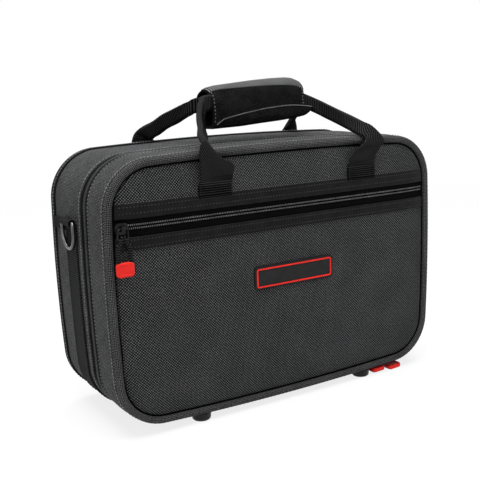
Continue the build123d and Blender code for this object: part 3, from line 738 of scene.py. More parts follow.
def front_strip(name, low, high, lift, thickness, count=300):
    """A level strip that follows the front panel's face from rim to rim, standing off it by lift."""
    section = band_section(high - low, thickness, 9)
    z = (low + high) / 2 + section[:, 0]
    out = lift + thickness / 2 + section[:, 1]
    share = np.sin(np.linspace(-pi / 2, pi / 2, count))
    x = share[:, None] * half_width(z, -PANEL_INSET - 0.3)[None]
    wave = 0.09 * np.sin(x / 2.1 + z) * np.sin(x / 5.3)
    points = stacked_places(x, panel_depth(x, z) - out - wave, z)
    return grid_piece(name, points, sharp=70)


def front_row(z, lift):
    """A level line on the front, for stitches."""
    reach = float(half_width(z, -PANEL_INSET - 2.5))
    x = np.linspace(-reach, reach, 400)
    line = np.stack([x, panel_depth(x, np.full_like(x, z)) - lift, np.full_like(x, z)], -1)
    return line, np.tile([0.0, -1.0, 0.0], (len(x), 1))


def make_band():
    strips = [
        ("pocket_strip_upper", UPPER_EDGE, BAND_TOP, "pocket_flange_upper"),
        ("pocket_strip_lower", BAND_BOTTOM, LOWER_EDGE, "pocket_flange_lower"),
    ]
    for name, low, high, node in strips:
        strip = front_strip(name, low, high, 0.0, STRIP_THICKNESS)
        finish_piece(strip, STRIP, "coated_strip", "lid", node)
    tapes = [
        ("pocket_zip_tape_upper", COIL_Z + 0.4, UPPER_EDGE + 3, "pocket_tape_upper"),
        ("pocket_zip_tape_lower", LOWER_EDGE - 3, COIL_Z - 0.4, "pocket_tape_lower"),
    ]
    for name, low, high, node in tapes:
        tape = front_strip(name, low, high, -STRIP_THICKNESS, 0.8)
        finish_piece(tape, ZIP_TAPE, "zip_tape", "lid", node)
    # A thin pale strip along the upper strip's top edge, in the piping's cloth: a painted highlight where
    # light catches that fold.
    edge = front_strip("pocket_strip_edge_highlight", BAND_TOP - 0.5, BAND_TOP + 0.4, 0.2, 0.9)
    finish_piece(edge, PIPING_CLOTH, "coated_strip", "lid")
    rows = [front_row(z, 1.15) for z in (76.0, 70.8, 49.4, 43.7)]
    seams = stitches("pocket_strip_stitches", rows, 3.0, 0.5, 0.5, 0.15)
    finish_piece(seams, DARK_THREAD, "coated_strip", "lid")


def coil_rows(name, line_at, count, pitch, half):
    """Both rows of a zip's coil: arched teeth, set by turns, with a thin dark line between."""
    starts, ends, up = [], [], []
    for side in (-1, 1):
        place = (np.arange(count) + (0.5 if side > 0 else 0.0)) * pitch
        low, out = line_at(place, side * half)
        high, _ = line_at(place, side * half * 0.3)
        starts.append(low)
        ends.append(high)
        up.append(out)
    return bars(name, np.concatenate(starts), np.concatenate(ends), np.concatenate(up), TOOTH_RADIUS, 0.32)


def make_main_zip():
    """Tapes and teeth of the zip between the halves."""
    start, stop = ZIP_END_X, RIM_LENGTH - ZIP_END_X
    edges = {"lid": (ZIP_FRONT - 1.5, PARTING - 1.2), "base": (PARTING + 1.2, ZIP_REAR + 1.5)}
    for word, (front, back) in edges.items():
        section = strip_section(front, back, sink=0.5, roll=0.3)
        tape = rim_piece(word + "_zip_tape_cloth", section, start, stop)
        finish_piece(tape, ZIP_TAPE, "zip_tape", word, word + "_zip_tape")
    place = np.arange(start + ZIP_PITCH, stop - ZIP_PITCH, ZIP_PITCH)
    for word, side in (("lid", -1), ("base", 1)):
        at = place + (0.5 * ZIP_PITCH if side > 0 else 0)
        near = rim_at(at, -0.35, PARTING + side * 2.8)
        far = rim_at(at, -0.15, PARTING - side * 0.35)
        teeth = bars(word + "_zip_teeth", near, far, rim_normal(at), TOOTH_RADIUS, 0.35)
        finish_piece(teeth, DARK_COIL, "coil", word, word + "_zip_coil")


def make_pocket_coil():
    def pocket_line(at, offset):
        x = at - half_width(COIL_Z, -PANEL_INSET - 1.0)
        z = np.full_like(x, COIL_Z + offset)
        line = np.stack([x, panel_depth(x, z) - 0.2, z], -1)
        return line, np.tile([0.0, -1.0, 0.0], (len(x), 1))

    count = int(2 * half_width(COIL_Z, -PANEL_INSET - 1.5) / POCKET_PITCH)
    teeth = coil_rows("pocket_zip_teeth", pocket_line, count, POCKET_PITCH, 2.1)
    finish_piece(teeth, COIL, "coil", "lid", "pocket_coil")


def make_hinge():
    """The cloth that joins the halves under the case, and the webbing at the zip's ends."""
    reach = ZIP_END_X - 3
    section = strip_section(ZIP_FRONT - 1, ZIP_REAR + 1, bulge=0.3, sink=0.5, count=26)
    hinge = rim_piece("hinge_cloth", section, RIM_LENGTH - reach, RIM_LENGTH + reach)
    finish_piece(hinge, GUSSET, "gusset_twill", None, "hinge_fabric")
    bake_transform(hinge)
    section = strip_section(PARTING + 2.2, ZIP_REAR + 0.6, bulge=0.5, sink=-0.9, thickness=2.2)
    for name, middle in (("zip_stop_right", reach + 1.5), ("zip_stop_left", RIM_LENGTH - reach - 1.5)):
        stop_tab = rim_piece(name, section, middle - 2, middle + 2, step=0.4)
        finish_piece(stop_tab, WEBBING, "webbing", "base", "zip_stops")


# ---- side webbing, ring tabs, rings and feet ----

def ribbed_band(width, thickness, count=14):
    """Section of webbing, with a fuller woven edge along each side."""
    section = band_section(width, thickness, count)
    edge = np.exp(-(((np.abs(section[:, 0]) - width / 2 + 1.1) / 0.8) ** 2))
    return section * np.stack([np.ones(len(section)), 1 + 0.3 * edge], -1)


def tube(name, line, up, radius, closed=False, sides=14, flatten=1.0):
    """A wire or cord along a line; up is square to the bends, and flatten its share of height."""
    line = np.asarray(line, float)
    up = np.asarray(up, float)
    along = np.roll(line, -1, 0) - np.roll(line, 1, 0)
    if not closed:
        along[0], along[-1] = line[1] - line[0], line[-1] - line[-2]
    side = unit(np.cross(along, up))
    turn = np.linspace(0, 2 * pi, sides, endpoint=False)
    radius = np.broadcast_to(radius, len(line))[:, None, None]
    spread = np.cos(turn)[None, :, None] * side[:, None] + flatten * np.sin(turn)[None, :, None] * up
    return grid_piece(name, line[:, None] + radius * spread, round_u=closed)


def evenly(line, step, closed=False):
    """A line through the same places, with its points a step apart."""
    line = np.asarray(line, float)
    if closed:
        line = np.concatenate([line, line[:1]])
    run = line_run(line)
    at = np.linspace(0, run[-1], max(4, round(run[-1] / step)), endpoint=not closed)
    return np.stack([np.interp(at, run, line[:, k]) for k in range(line.shape[1])], -1)


def make_side_webbing():
    reach = rim_where(WEB_TOP)
    section = ribbed_band(WEB_REAR - WEB_FRONT, WEB_THICKNESS)
    outward, depth = 0.95 + section[:, 1], (WEB_FRONT + WEB_REAR) / 2 + section[:, 0]
    distance = np.arange(-reach, reach, RIB_STEP)[:, None]
    rib = 0.14 * np.abs(np.sin(pi * distance / RIB)) * np.sign(section[:, 1])[None]
    band = grid_piece("side_webbing_band", rim_at(distance, outward[None] + rib, depth[None]))
    finish_piece(band, WEBBING, "webbing", "base", "side_webbing")
    rows = []
    for depth in (WEB_FRONT + 1.8, WEB_REAR - 1.8):
        rows.append(rim_row(1.95, depth, RIM_LENGTH - reach, RIM_LENGTH + reach))
    finish_piece(stitches("side_webbing_stitches", rows, 3.4), DARK_THREAD, "webbing", "base")


def tab_plate(name, side):
    """The tab's webbing from the ring back to the rear seam."""
    depth = np.linspace(WEB_FRONT + 0.3, BINDING_FRONT + 1.0, 150)
    low = np.interp(depth, [WEB_REAR, WEB_REAR + 2.5], [WEB_TOP, TAB_BOTTOM])
    high = np.full_like(depth, TAB_TOP)
    section = band_section(1.0, 0.13, 10)
    z = (low + high)[:, None] / 2 + section[None, :, 0] * (high - low)[:, None]
    ends = np.clip(np.minimum(depth - depth[0], depth[-1] - depth) / 0.8, 0.25, 1)[:, None]
    lift = np.interp(depth, [WEB_REAR - 2, WEB_REAR + 8], [2.4, 1.6])[:, None]
    rib = 0.12 * np.abs(np.sin(pi * depth / RIB))[:, None] * np.sign(section[None, :, 1])
    outward = lift + section[None, :, 1] * 12 * ends + rib
    x = side * (half_width(z) + outward)
    return grid_piece(name, stacked_places(x, depth[:, None], z))


RING_WIRE = 1.6
RING_HALF = 13.4
RING_DROP = 22.8
RING_OUT = 4.4
SLEEVE_HALF = 11
SLEEVE_OUTER = 3.3
SLEEVE_INNER = 1.85


def ring_place(side):
    """Middle of the ring's straight bar."""
    z = WEB_TOP + 5
    return np.array([side * (float(half_width(z)) + RING_OUT), (WEB_FRONT + WEB_REAR) / 2, z])


def tab_sleeve(name, side):
    """The loop of webbing round the ring's bar."""
    turn = np.radians(np.linspace(-160, 160, 30))
    outer = np.stack([np.cos(turn), np.sin(turn)], -1) * SLEEVE_OUTER
    inner = np.stack([np.cos(turn), np.sin(turn)], -1)[::-1] * SLEEVE_INNER
    section = np.concatenate([outer, inner])
    depth = np.linspace(-SLEEVE_HALF, SLEEVE_HALF, 40)[:, None]
    swell = 1 - 0.12 * np.exp(-(SLEEVE_HALF - np.abs(depth)) / 0.5)
    x, y, z = ring_place(side)
    points = [x + side * section[None, :, 0] * swell, y + depth, z + section[None, :, 1] * swell]
    return grid_piece(name, stacked_places(*points))


def ring_line(side):
    """The D-ring's closed line, hanging from its bar."""
    half, drop = RING_HALF, RING_DROP
    turn = np.linspace(pi, 2 * pi, 30)
    bow = np.stack([half * np.cos(turn), half * np.sin(turn) - (drop - half)], -1)
    corners = [(half, -1.2), (half - 1.2, 0), (1.2 - half, 0), (-half, -1.2)]
    flat = evenly(np.concatenate([bow, corners]), 0.9, closed=True)
    x, y, z = ring_place(side)
    return np.stack([np.full(len(flat), x), y + flat[:, 0], z + flat[:, 1]], -1)


FOOT_X = 90.0
FEET = {"front": (10.0, "lid"), "rear": (107.5, "base")}


def foot(name, x, depth):
    """A low moulded dome that stands on the floor."""
    profile = [(0.5, 0), (5.6, 0), (7.3, 0.35), (8.2, 1.3), (8.5, 2.8), (8.4, 4.4), (8.9, 5.6), (8.9, 7.4)]
    turn = np.linspace(0, 2 * pi, 40, endpoint=False)
    radius, tall = (np.array(values)[:, None] for values in zip(*profile))
    points = [x + radius * np.cos(turn), depth + radius * np.sin(turn), tall - CENTRE_Z + 0 * turn]
    return grid_piece(name, np.stack(points, -1), sharp=40)


def make_fittings():
    for word, side in (("right", 1), ("left", -1)):
        plate = tab_plate("ring_tab_plate_" + word, side)
        finish_piece(plate, WEBBING, "webbing", "base", "ring_tab_" + word)
        finish_piece(tab_sleeve("ring_tab_loop_" + word, side), WEBBING, "webbing", "base")
        ring = tube("ring_wire_" + word, ring_line(side), (side, 0, 0), RING_WIRE, closed=True, sides=18)
        finish_piece(ring, RING_METAL, "ring_metal", "ring_" + word, "d_ring_" + word)
        for end, (depth, body) in FEET.items():
            dome = foot(end + "_foot_" + word, side * FOOT_X, depth)
            finish_piece(dome, RUBBER, "black_rubber", body, end + "_feet")


# ---- carrying handle ----

def smooth_through(values, share):
    """Values read smoothly between evenly numbered stations."""
    values = np.asarray(values, float)
    place = share * (len(values) - 1)
    k = np.clip(place.astype(int), 0, len(values) - 2)
    t = place - k
    before, after = values[np.maximum(k - 1, 0)], values[np.minimum(k + 2, len(values) - 1)]
    if values.ndim > 1:
        t = t[:, None]
    slope_a, slope_b = (values[k + 1] - before) / 2, (after - values[k]) / 2
    return (
        (2 * t ** 3 - 3 * t ** 2 + 1) * values[k]
        + (t ** 3 - 2 * t ** 2 + t) * slope_a
        + (3 * t ** 2 - 2 * t ** 3) * values[k + 1]
        + (t ** 3 - t ** 2) * slope_b
    )


def strap_piece(name, stations):
    """Webbing through stations: each a place, the way its width lies, its width and thickness."""
    places, widths, sizes = (np.array(values, float) for values in zip(*stations))
    fine = np.linspace(0, 1, 4000)
    line = smooth_through(places, fine)
    run = line_run(line)
    distance = np.arange(0, run[-1], RIB_STEP)
    share = np.interp(distance, run, fine)
    line, wide, size = (smooth_through(values, share) for values in (places, widths, sizes))
    along = unit(np.gradient(line, axis=0))
    wide = unit(wide)
    out = unit(np.cross(along, wide))
    section = ribbed_band(1.0, 0.001, 16)
    across, level = section[:, 0], np.sign(section[:, 1])
    rounding = np.clip((0.5 - np.abs(across)) / 0.06, 0, 1) ** 0.5
    folded = np.clip((size[:, 1] - WEB_THICKNESS) / 3.4, 0, 1)[:, None]
    slit = 1 - 0.7 * folded * np.exp(-(((across - 0.44) / 0.05) ** 2))[None]
    height = line[:, 2]
    lean = 0.9 * np.clip((height - 90) / 5, 0, 1) * np.clip((124 - height) / 6, 0, 1) * (line[:, 1] < 20)
    lean = (lean * size[:, 0])[:, None] * (across + 0.5)[None] * np.sign(wide[:, 0, None] + 1e-6)
    rib = 0.2 * np.abs(np.sin(pi * (distance[:, None] + lean) / RIB)) ** 2
    half = (size[:, 1, None] / 2 * (0.35 + 0.65 * rounding)[None] + rib) * slit
    points = line[:, None] + wide[:, None] * (across[None] * size[:, 0, None])[..., None]
    points = points + out[:, None] * (level[None] * half)[..., None]
    return grid_piece(name, points, slant=lean)


FRONT_STRAP = [
    ((-72.0, -2.1, 86.5), (1, 0, 0), (32, 1.6)),
    ((-71.9, -3.4, 89.5), (1, 0, -0.01), (31, 1.8)),
    ((-71.6, -5.2, 95.0), (1, 0, -0.05), (30, 2.0)),
    ((-71.4, -6.6, 101.0), (0.98, 0, -0.1), (31, 2.2)),
    ((-73.4, -7.4, 107.6), (0.93, 0, -0.22), (31, 2.4)),
    ((-76.4, -7.4, 113.6), (0.8, 0.1, -0.5), (26, 3.2)),
    ((-79.8, -5.6, 119.2), (0.66, 0.25, -0.68), (15.5, 4.6)),
    ((-79.0, 3.0, 123.4), (0.6, 0.3, -0.75), (13.5, 5)),
    ((-72.7, 14.0, 128.1), (0.5, 0.2, -0.85), (14, 5)),
    ((-67.9, 25.0, 133.2), (0.4, 0.15, -0.9), (14, 5)),
    ((-62.1, 36.0, 139.2), (0.3, 0.1, -0.95), (14, 5)),
    ((-54.7, 47.0, 146.6), (0.1, 0, -1), (14, 5)),
    ((-43.0, 54.6, 151.0), (0, 0, -1), (14, 5)),
    ((8.0, 56.0, 150.0), (0, 0, -1), (14, 5)),
    ((50.0, 56.4, 149.8), (0, 0, -1), (14, 5)),
    ((60.5, 55.4, 147.6), (0, 0, -1), (14, 5)),
    ((71.0, 48.0, 141.7), (0, 0, -1), (14, 5)),
    ((76.8, 40.0, 136.9), (0, 0, -1), (14, 5)),
    ((83.3, 29.5, 131.2), (0, 0, -1), (14, 5)),
    ((87.3, 16.5, 125.8), (-0.15, 0, -0.99), (14, 5)),
    ((88.2, 6.0, 122.2), (-0.35, 0, -0.94), (14, 5)),
    ((88.8, -2.6, 119.8), (-0.5, 0, -0.87), (14, 5)),
    ((90.2, -6.6, 117.2), (-0.75, 0, -0.5), (14.5, 3)),
    ((92.0, -7.6, 112.4), (-0.97, 0, -0.2), (22, 2)),
    ((90.6, -7.4, 108.4), (-0.99, 0, -0.1), (30.5, 1.8)),
    ((85.6, -6.4, 103.4), (-1, 0, -0.06), (30, 1.8)),
    ((82.6, -5.2, 98.0), (-1, 0, 0), (29.5, 1.8)),
    ((82.0, -3.4, 92.0), (-1, 0, 0), (30.5, 1.7)),
    ((82.0, -2.1, 86.5), (-1, 0, 0), (32, 1.6)),
]
REAR_STRAP = [
    ((-72.0, 126.3, 86.5), (1, 0, 0), (32, 1.6)),
    ((-72.0, 127.8, 100.0), (1, 0, 0), (32, 1.6)),
    ((-71.6, 128.4, 111.5), (1, 0, -0.02), (32.5, 1.8)),
    ((-73.0, 128.2, 117.0), (0.96, 0, -0.2), (27, 2.2)),
    ((-74.0, 126.2, 121.2), (0.8, -0.1, -0.55), (18, 3.2)),
    ((-72.0, 120.6, 124.9), (0.55, -0.2, -0.8), (14.5, 6)),
    ((-68.2, 113.4, 128.4), (0.45, -0.2, -0.85), (14, 6.5)),
    ((-63.5, 104.0, 134.2), (0.3, -0.15, -0.9), (14, 6.5)),
    ((-57.7, 93.0, 139.1), (0.2, -0.1, -0.95), (14, 6.5)),
    ((-54.5, 84.0, 142.9), (0.1, 0, -1), (13.5, 6)),
    ((-51.4, 76.0, 146.0), (0, 0, -1), (13, 5.5)),
    ((-43.0, 70.4, 149.0), (0, 0, -1), (13.5, 5)),
    ((8.0, 68.4, 150.0), (0, 0, -1), (14, 5)),
    ((50.0, 68.4, 149.0), (0, 0, -1), (14, 5)),
    ((62.0, 74.0, 145.0), (0, 0, -1), (14, 5)),
    ((74.0, 90.0, 137.6), (-0.2, 0, -1), (14, 5)),
    ((84.0, 110.0, 129.4), (-0.4, 0, -0.9), (14.5, 5.5)),
    ((89.6, 124.0, 123.4), (-0.7, 0, -0.7), (17, 4.0)),
    ((88.6, 128.6, 113.0), (-0.96, 0, -0.25), (27, 2.2)),
    ((84.0, 127.9, 100.0), (-1, 0, -0.05), (31.5, 1.7)),
    ((82.0, 126.3, 86.5), (-1, 0, 0), (32, 1.6)),
]


STRAP_ENDS = {"left": -72.4, "right": 82.4}
SEWN_TOP = 87.4
SEWN_ROWS = (79.6, 81.4, 83.2, 85.0, 86.8)
SEAM_OUT = 14.6


def sewn_end(name, x, face, out):
    """The flat end of a strap on a panel; out is -1 on the front and 1 on the rear."""
    section = ribbed_band(STRAP_WIDTH, WEB_THICKNESS)
    z = np.arange(BAND_TOP - 2.5, SEWN_TOP, RIB_STEP)[:, None]
    rib = 0.13 * np.abs(np.sin(pi * z / RIB)) * np.sign(section[:, 1])[None]
    depth = face + out * (0.9 + section[None, :, 1] + rib)
    return grid_piece(name, stacked_places(x + section[None, :, 0], depth, z))


def sewn_rows(x, face, out):
    """Stitch lines on a strap's sewn end: level ones, and one up each edge."""
    up = np.array([0.0, out, 0.0])
    depth = face + out * 1.95
    rows = []
    for z in SEWN_ROWS:
        line = np.array([(x - 14.2, depth, z), (x + 14.2, depth, z)])
        rows.append((line, np.tile(up, (2, 1))))
    for side in (-1, 1):
        line = np.array([(x + side * SEAM_OUT, depth, BAND_TOP), (x + side * SEAM_OUT, depth, SEWN_TOP)])
        rows.append((line, np.tile(up, (2, 1))))
    return rows


def make_straps():
    hold = {"front": ("lid", PANEL_FACE, -1, FRONT_STRAP), "rear": ("base", REAR_FACE, 1, REAR_STRAP)}
    for word, (body, face, out, stations) in hold.items():
        strap = strap_piece(word + "_handle_strap", stations)
        finish_piece(strap, WEBBING, "webbing", None, word + "_strap")
        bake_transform(strap)
        rows = []
        for name, x in STRAP_ENDS.items():
            end = sewn_end(word + "_strap_end_" + name, x, face, out)
            # The sewn ends take the darker webbing copy: painted shade.
            finish_piece(end, SHADED_WEBBING, "webbing", body, word + "_strap_ends")
            rows += sewn_rows(x, face, out)
        seams = stitches(word + "_strap_stitches", rows, 2.4, 0.75, 0.26)
        finish_piece(seams, DARK_THREAD, "webbing", body)


GRIP_LEFT, GRIP_RIGHT = -46.0, 62.0
GRIP_RADIUS = 11.2
ARCH_DROP = 12.0
BAND_RADIUS = 12.3
PATH_POINTS = 70


def grip_top(x):
    """Height of the grip's crest."""
    places = [-46, -42, -34, -15, 7, 29, 46, 54, 62]
    heights = [161.6, 163.3, 164.7, 166.2, 167.9, 169.1, 169.4, 168.6, 165.6]
    return np.interp(x, places, heights)


def grip_bottom(x):
    """Height of the grip's underside."""
    return np.interp(x, [-46, -13, 9, 32, 54, 62], [127.8, 128.6, 130.0, 131.2, 133.0, 134.4])


def lip_top(x):
    """Height of the flap's free edge, on the grip's front."""
    places = [-46, -41, -36, -16, 6, 28, 39, 50, 62]
    heights = [131.5, 134.4, 137.4, 141.2, 144.4, 146.0, 146.1, 145.2, 143.4]
    return np.interp(x, places, heights)


def grip_place(x, depth, z, lipped=False):
    """A point of the grip in the case: its sheets are cut on a slant, and the lip to a corner."""
    start = np.interp(depth, [-12, 12], [-42.3, -46.5])
    front_end = np.interp(z, [133, 142, 150, 156], [56.0, 66.0, 60.5, 56.5]) if lipped else 56.5
    end = np.interp(depth, [-6, 4], [1, 0]) * (front_end - 57.5) + 57.5
    placed = start + (end - start) * (x - GRIP_LEFT) / (GRIP_RIGHT - GRIP_LEFT)
    return np.stack([placed, GRIP_DEPTH + depth, z], -1)


def folded_sheet(name, path_at, thickness=1.7, step=1.2, lipped=False):
    """A sheet bent along a path that changes with x; its four edges are rounded."""
    edge = np.array([0.0, 0.15, 0.4, 0.8, 1.3])
    middle = np.arange(GRIP_LEFT + 2, GRIP_RIGHT - 2, step)
    xs = np.concatenate([GRIP_LEFT + edge, middle, GRIP_RIGHT - edge[::-1]])
    rows = []
    for x in xs:
        path = evenly(path_at(x), 0.9)
        path = evenly(path, line_run(path)[-1] / PATH_POINTS)[:PATH_POINTS]
        near = min(x - GRIP_LEFT, GRIP_RIGHT - x)
        round_end = sqrt(1 - (1 - min(near / 0.8, 1)) ** 2) * 0.85 + 0.15
        half = thickness / 2 * round_end
        along = unit(np.gradient(path, axis=0))
        out = np.stack([along[:, 1], -along[:, 0]], -1)
        taper = np.minimum(np.arange(len(path)), np.arange(len(path))[::-1]) / 1.5
        lift = (half * np.sqrt(1 - (1 - np.clip(taper, 0, 1)) ** 2) + 0.1)[:, None] * out
        loop = np.concatenate([path + lift, (path - lift)[::-1]])
        rows.append(grip_place(x, loop[:, 0], loop[:, 1], lipped))
    return grid_piece(name, np.array(rows))


def arch_points(x, start, stop, radius=GRIP_RADIUS):
    """The grip's rounded top between two angles, as depth and height."""
    turn = np.radians(np.linspace(start, stop, 24))
    centre = grip_top(x) - ARCH_DROP
    return np.stack([radius * np.cos(turn), centre + radius * 1.02 * np.sin(turn)], -1)


def wrap_path(x):
    """Up the grip's front and over its top."""
    low, high = grip_bottom(x) + 2.8, grip_top(x) - ARCH_DROP
    z = np.linspace(low, high, 20)[:-1]
    bulge = 0.6 * np.sin(pi * (z - low) / (high - low)) + 0.3 * np.sin(x / 17.0) * np.sin(z / 9.0)
    return np.concatenate([np.stack([-GRIP_RADIUS - bulge, z], -1), arch_points(x, 180, 66)])


def flap_path(x):
    """Down the grip's back, under it and up its front to the lip."""
    low = grip_bottom(x) + 0.9
    turn = np.radians(np.linspace(0, -90, 10))
    rear = np.stack([5.2 + 6 * np.cos(turn), low + 6 + 6 * np.sin(turn)], -1)
    floor = np.array([(1, low - 0.15), (-4, low), (-8.5, low)])
    turn = np.radians(np.linspace(-90, -180, 10))
    front = np.stack([-9.3 + 4.2 * np.cos(turn), low + 4.2 + 4.2 * np.sin(turn)], -1)
    z = np.linspace(low + 5, lip_top(x), 10)
    lean = 0.25 * np.sin(x / 13.0 + 1)
    lip = np.stack([-13.7 - 0.5 * np.sin(pi * (z - low) / (lip_top(x) - low)) - lean, z], -1)
    return np.concatenate([arch_points(x, 65, 0), rear, floor, front, lip])


def band_path(x):
    """The ribbed band that lies over the wrap's top; its pale colour is a painted highlight, where light
    catches the crest of the fold.
    """
    start = np.interp(x, [GRIP_LEFT, GRIP_RIGHT], [128, 157])
    return arch_points(x, start, 74, BAND_RADIUS)


def make_grip():
    wrap = folded_sheet("grip_wrap_sheet", wrap_path)
    finish_piece(wrap, VELOUR, "loop_fabric", "front_handle", "grip_wrap")
    flap = folded_sheet("grip_flap_sheet", flap_path, lipped=True)
    finish_piece(flap, VELOUR, "loop_fabric", "grip_cover", "grip_flap")
    # The band's pale colour is a painted highlight on the wrap's crest.
    band = folded_sheet("grip_top_band_painted_highlight", band_path, 0.7, 0.4)
    finish_piece(band, GRIP_BAND_HIGHLIGHT, "loop_fabric", "front_handle")
    xs = np.linspace(GRIP_LEFT + 2, GRIP_RIGHT - 2, 80)
    front = np.tile([0.0, -1.0, 0.0], (len(xs), 1))
    lip = grip_place(xs, np.full_like(xs, -14.9), lip_top(xs) - 1.1, lipped=True)
    seam = stitches("grip_lip_stitches", [(lip, front)], 1.5, 0.7, 0.42)
    finish_piece(seam, THREAD, "loop_fabric", "grip_cover")
    rows = []
    for x in (GRIP_LEFT + 2.2, GRIP_RIGHT - 2.2):
        path = wrap_path(x)[2:]
        line = grip_place(x, path[:, 0], path[:, 1])
        out = np.stack([0 * path[:, 0], path[:, 0], np.maximum(path[:, 1] - grip_top(x) + ARCH_DROP, 0)], -1)
        out = unit(out)
        rows.append((line + out, out))
    finish_piece(stitches("grip_end_stitches", rows, 3.2, 0.5), THREAD, "loop_fabric", "front_handle")


# ---- sliders and pulls, drawn on a zip that lies along x and faces z ----

SLIDER_SEAT = 2.8
POCKET_SLIDER_X = -158.5
SLIDER_A_X = 108.0
SLIDER_B = (126.4, -72.0)
SLIDER_B_TURN = radians(3.5)
PULL_LENGTH = {"pocket": 9.0, "main_a": 15.0, "main_b": 15.0}
PULL_WIRE = 0.7
PULL_WIDTH = 9.0
CORD_RADIUS = 1.75
TIP_WIDTH = 15.0
TIP_LENGTH = 12.0


def rounded_rectangle(width, height, corner, count=7):
    """Points round a rectangle with rounded corners, centred."""
    points = []
    for index, (side, end) in enumerate(((1, 1), (-1, 1), (-1, -1), (1, -1))):
        turn = np.linspace(0, pi / 2, count) + index * pi / 2
        centre = np.array([side * (width / 2 - corner), end * (height / 2 - corner)])
        points.append(centre + corner * np.stack([np.cos(turn), np.sin(turn)], -1))
    return np.concatenate(points)


def stacked(width, height, corner, levels):
    """A moulded block: rounded rectangles, each drawn in by an amount at its own level."""
    layers = []
    for drawn_in, level in levels:
        less = max(corner - drawn_in, 0.3)
        flat = rounded_rectangle(width - 2 * drawn_in, height - 2 * drawn_in, less)
        layers.append(np.column_stack([flat, np.full(len(flat), level)]))
    return np.array(layers)


def pull_places():
    """Where each slider sits: its origin and its three axes, in case coordinates."""
    places = {"pocket": ((POCKET_SLIDER_X, FLANGE_FACE - 0.4, COIL_Z), ((1, 0, 0), (0, 0, 1), (0, -1, 0)))}
    end = arc_radius(HALF_WIDTH - SIDE_CROWN, END_CROWN)
    turn_a = np.arcsin(SLIDER_A_X / end)
    spots = {"main_a": (0.0, end - HALF_HEIGHT, end, turn_a)}
    spots["main_b"] = (*SLIDER_B, CORNER_RADIUS, SLIDER_B_TURN)
    for label, (x, z, radius, turn) in spots.items():
        down = np.array([np.sin(turn), 0, -np.cos(turn)])
        origin = np.array([x, PARTING, z]) + (radius + 1.1) * down
        places[label] = (origin, ((down[2], 0, -down[0]), (0, 1, 0), down))
    return places


def put(points, place):
    """Points drawn on the zip moved to where a slider sits."""
    origin, axes = place
    return np.asarray(origin, float) + np.asarray(points, float) @ np.array(axes, float)


def cord_line(length):
    """The pull's cord: up one arm, over the loop's far bar and down the other arm."""
    end = -length - 18.6
    half = [(5.1, end), (5.2, -length - 6.5), (4.6, -length - 4.2), (2.9, -length - 2.6)]
    half += [(1.9, -length - 0.9), (1.8, -length + 1.2), (1.0, -length + 2.0)]
    both = half + [(-x, y) for x, y in reversed(half)]
    fine = smooth_through(np.array(both), np.linspace(0, 1, 160))
    line = evenly(fine, 0.5)
    return np.column_stack([line, np.zeros(len(line))])


def make_pull(label, place, length):
    pull = label + "_pull"
    body = "pocket_pull" if label == "pocket" else "main_pull_" + label[-1]
    up = np.array(place[1][2], float)
    wire = rounded_rectangle(PULL_WIDTH, length, 2.0)
    wire = np.column_stack([wire[:, 0], wire[:, 1] - length / 2, np.full(len(wire), SLIDER_SEAT)])
    wire = put(evenly(wire, 0.6, True), place)
    loop = tube(pull + "_wire", wire, up, PULL_WIRE, closed=True, sides=12)
    finish_piece(loop, SLIDER, "slider_metal", body, pull + "_loop")
    line = cord_line(length) + np.array([0, 0, SLIDER_SEAT])
    run = np.arange(len(line)) * 0.5
    radius = CORD_RADIUS + 0.1 * np.sin(2 * pi * run / 1.7)
    cord = tube(pull + "_cord", put(line, place), up, radius, sides=12, flatten=0.92)
    finish_piece(cord, WEBBING, "black_rubber", body, label + "_puller")
    rim = [(1.3, -2.1), (0.5, -1.9), (0.1, -1.3), (0, -0.5), (0, 0.5), (0.1, 1.3), (0.5, 1.9), (1.3, 2.1)]
    dish = [(2.7, 1.5), (2.3, 1.6), (1.9, 2.1)]
    levels = [(inset_by, -level) for inset_by, level in dish] + rim + dish[::-1]
    shape = stacked(TIP_WIDTH, TIP_LENGTH, 3.0, levels)
    middle = np.array([0, -length + 2.5 - 20 - 6.0, SLIDER_SEAT])
    tip = grid_piece(pull + "_tip_block", put(shape + middle, place), sharp=50)
    finish_piece(tip, RED, "red_rubber", body, pull + "_tip")


def dress_node(name, material, bevel):
    """A CAD node whose shape is right: its edges softened, and its finish."""
    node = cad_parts[name]
    node.data.materials.clear()
    node.data.materials.append(material)
    soften = node.modifiers.new("soften", "BEVEL")
    soften.width = bevel * MM
    soften.segments = 3
    soften.limit_method = "ANGLE"
    soften.harden_normals = True


def make_pulls():
    for label, place in pull_places().items():
        make_pull(label, place, PULL_LENGTH[label])
        dress_node(label + "_slider", SLIDER, 0.5)
    dress_node("badge_plate", RUBBER, 0.35)
    low, high = (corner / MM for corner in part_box("badge_frame"))
    wire = rounded_rectangle(high.x - low.x - 1.4, high.z - low.z - 1.4, 1.6)
    middle = np.array([(low.x + high.x) / 2, low.y - FRONT_Y + 0.55, (low.z + high.z) / 2 - CENTRE_Z])
    line = np.stack([wire[:, 0], np.zeros(len(wire)), wire[:, 1]], -1) + middle
    line = evenly(line, 0.8, True)
    frame_line = tube("badge_frame_line", line, (0, -1, 0), 0.72, closed=True, sides=12)
    finish_piece(frame_line, RED, "red_rubber", "lid", "badge_frame")


# ---- inside: linings, the plush insert, the lid's pad and the pocket's lining ----

def wall_section(front, back):
    """A padded wall round the rim: outward distance and depth, with rounded corners."""
    middle = np.array([-(SKIN + 0.3 + FOAM_INNER) / 2, (front + back) / 2])
    return rounded_rectangle(FOAM_INNER - SKIN - 0.3, back - front, 4.0) + middle


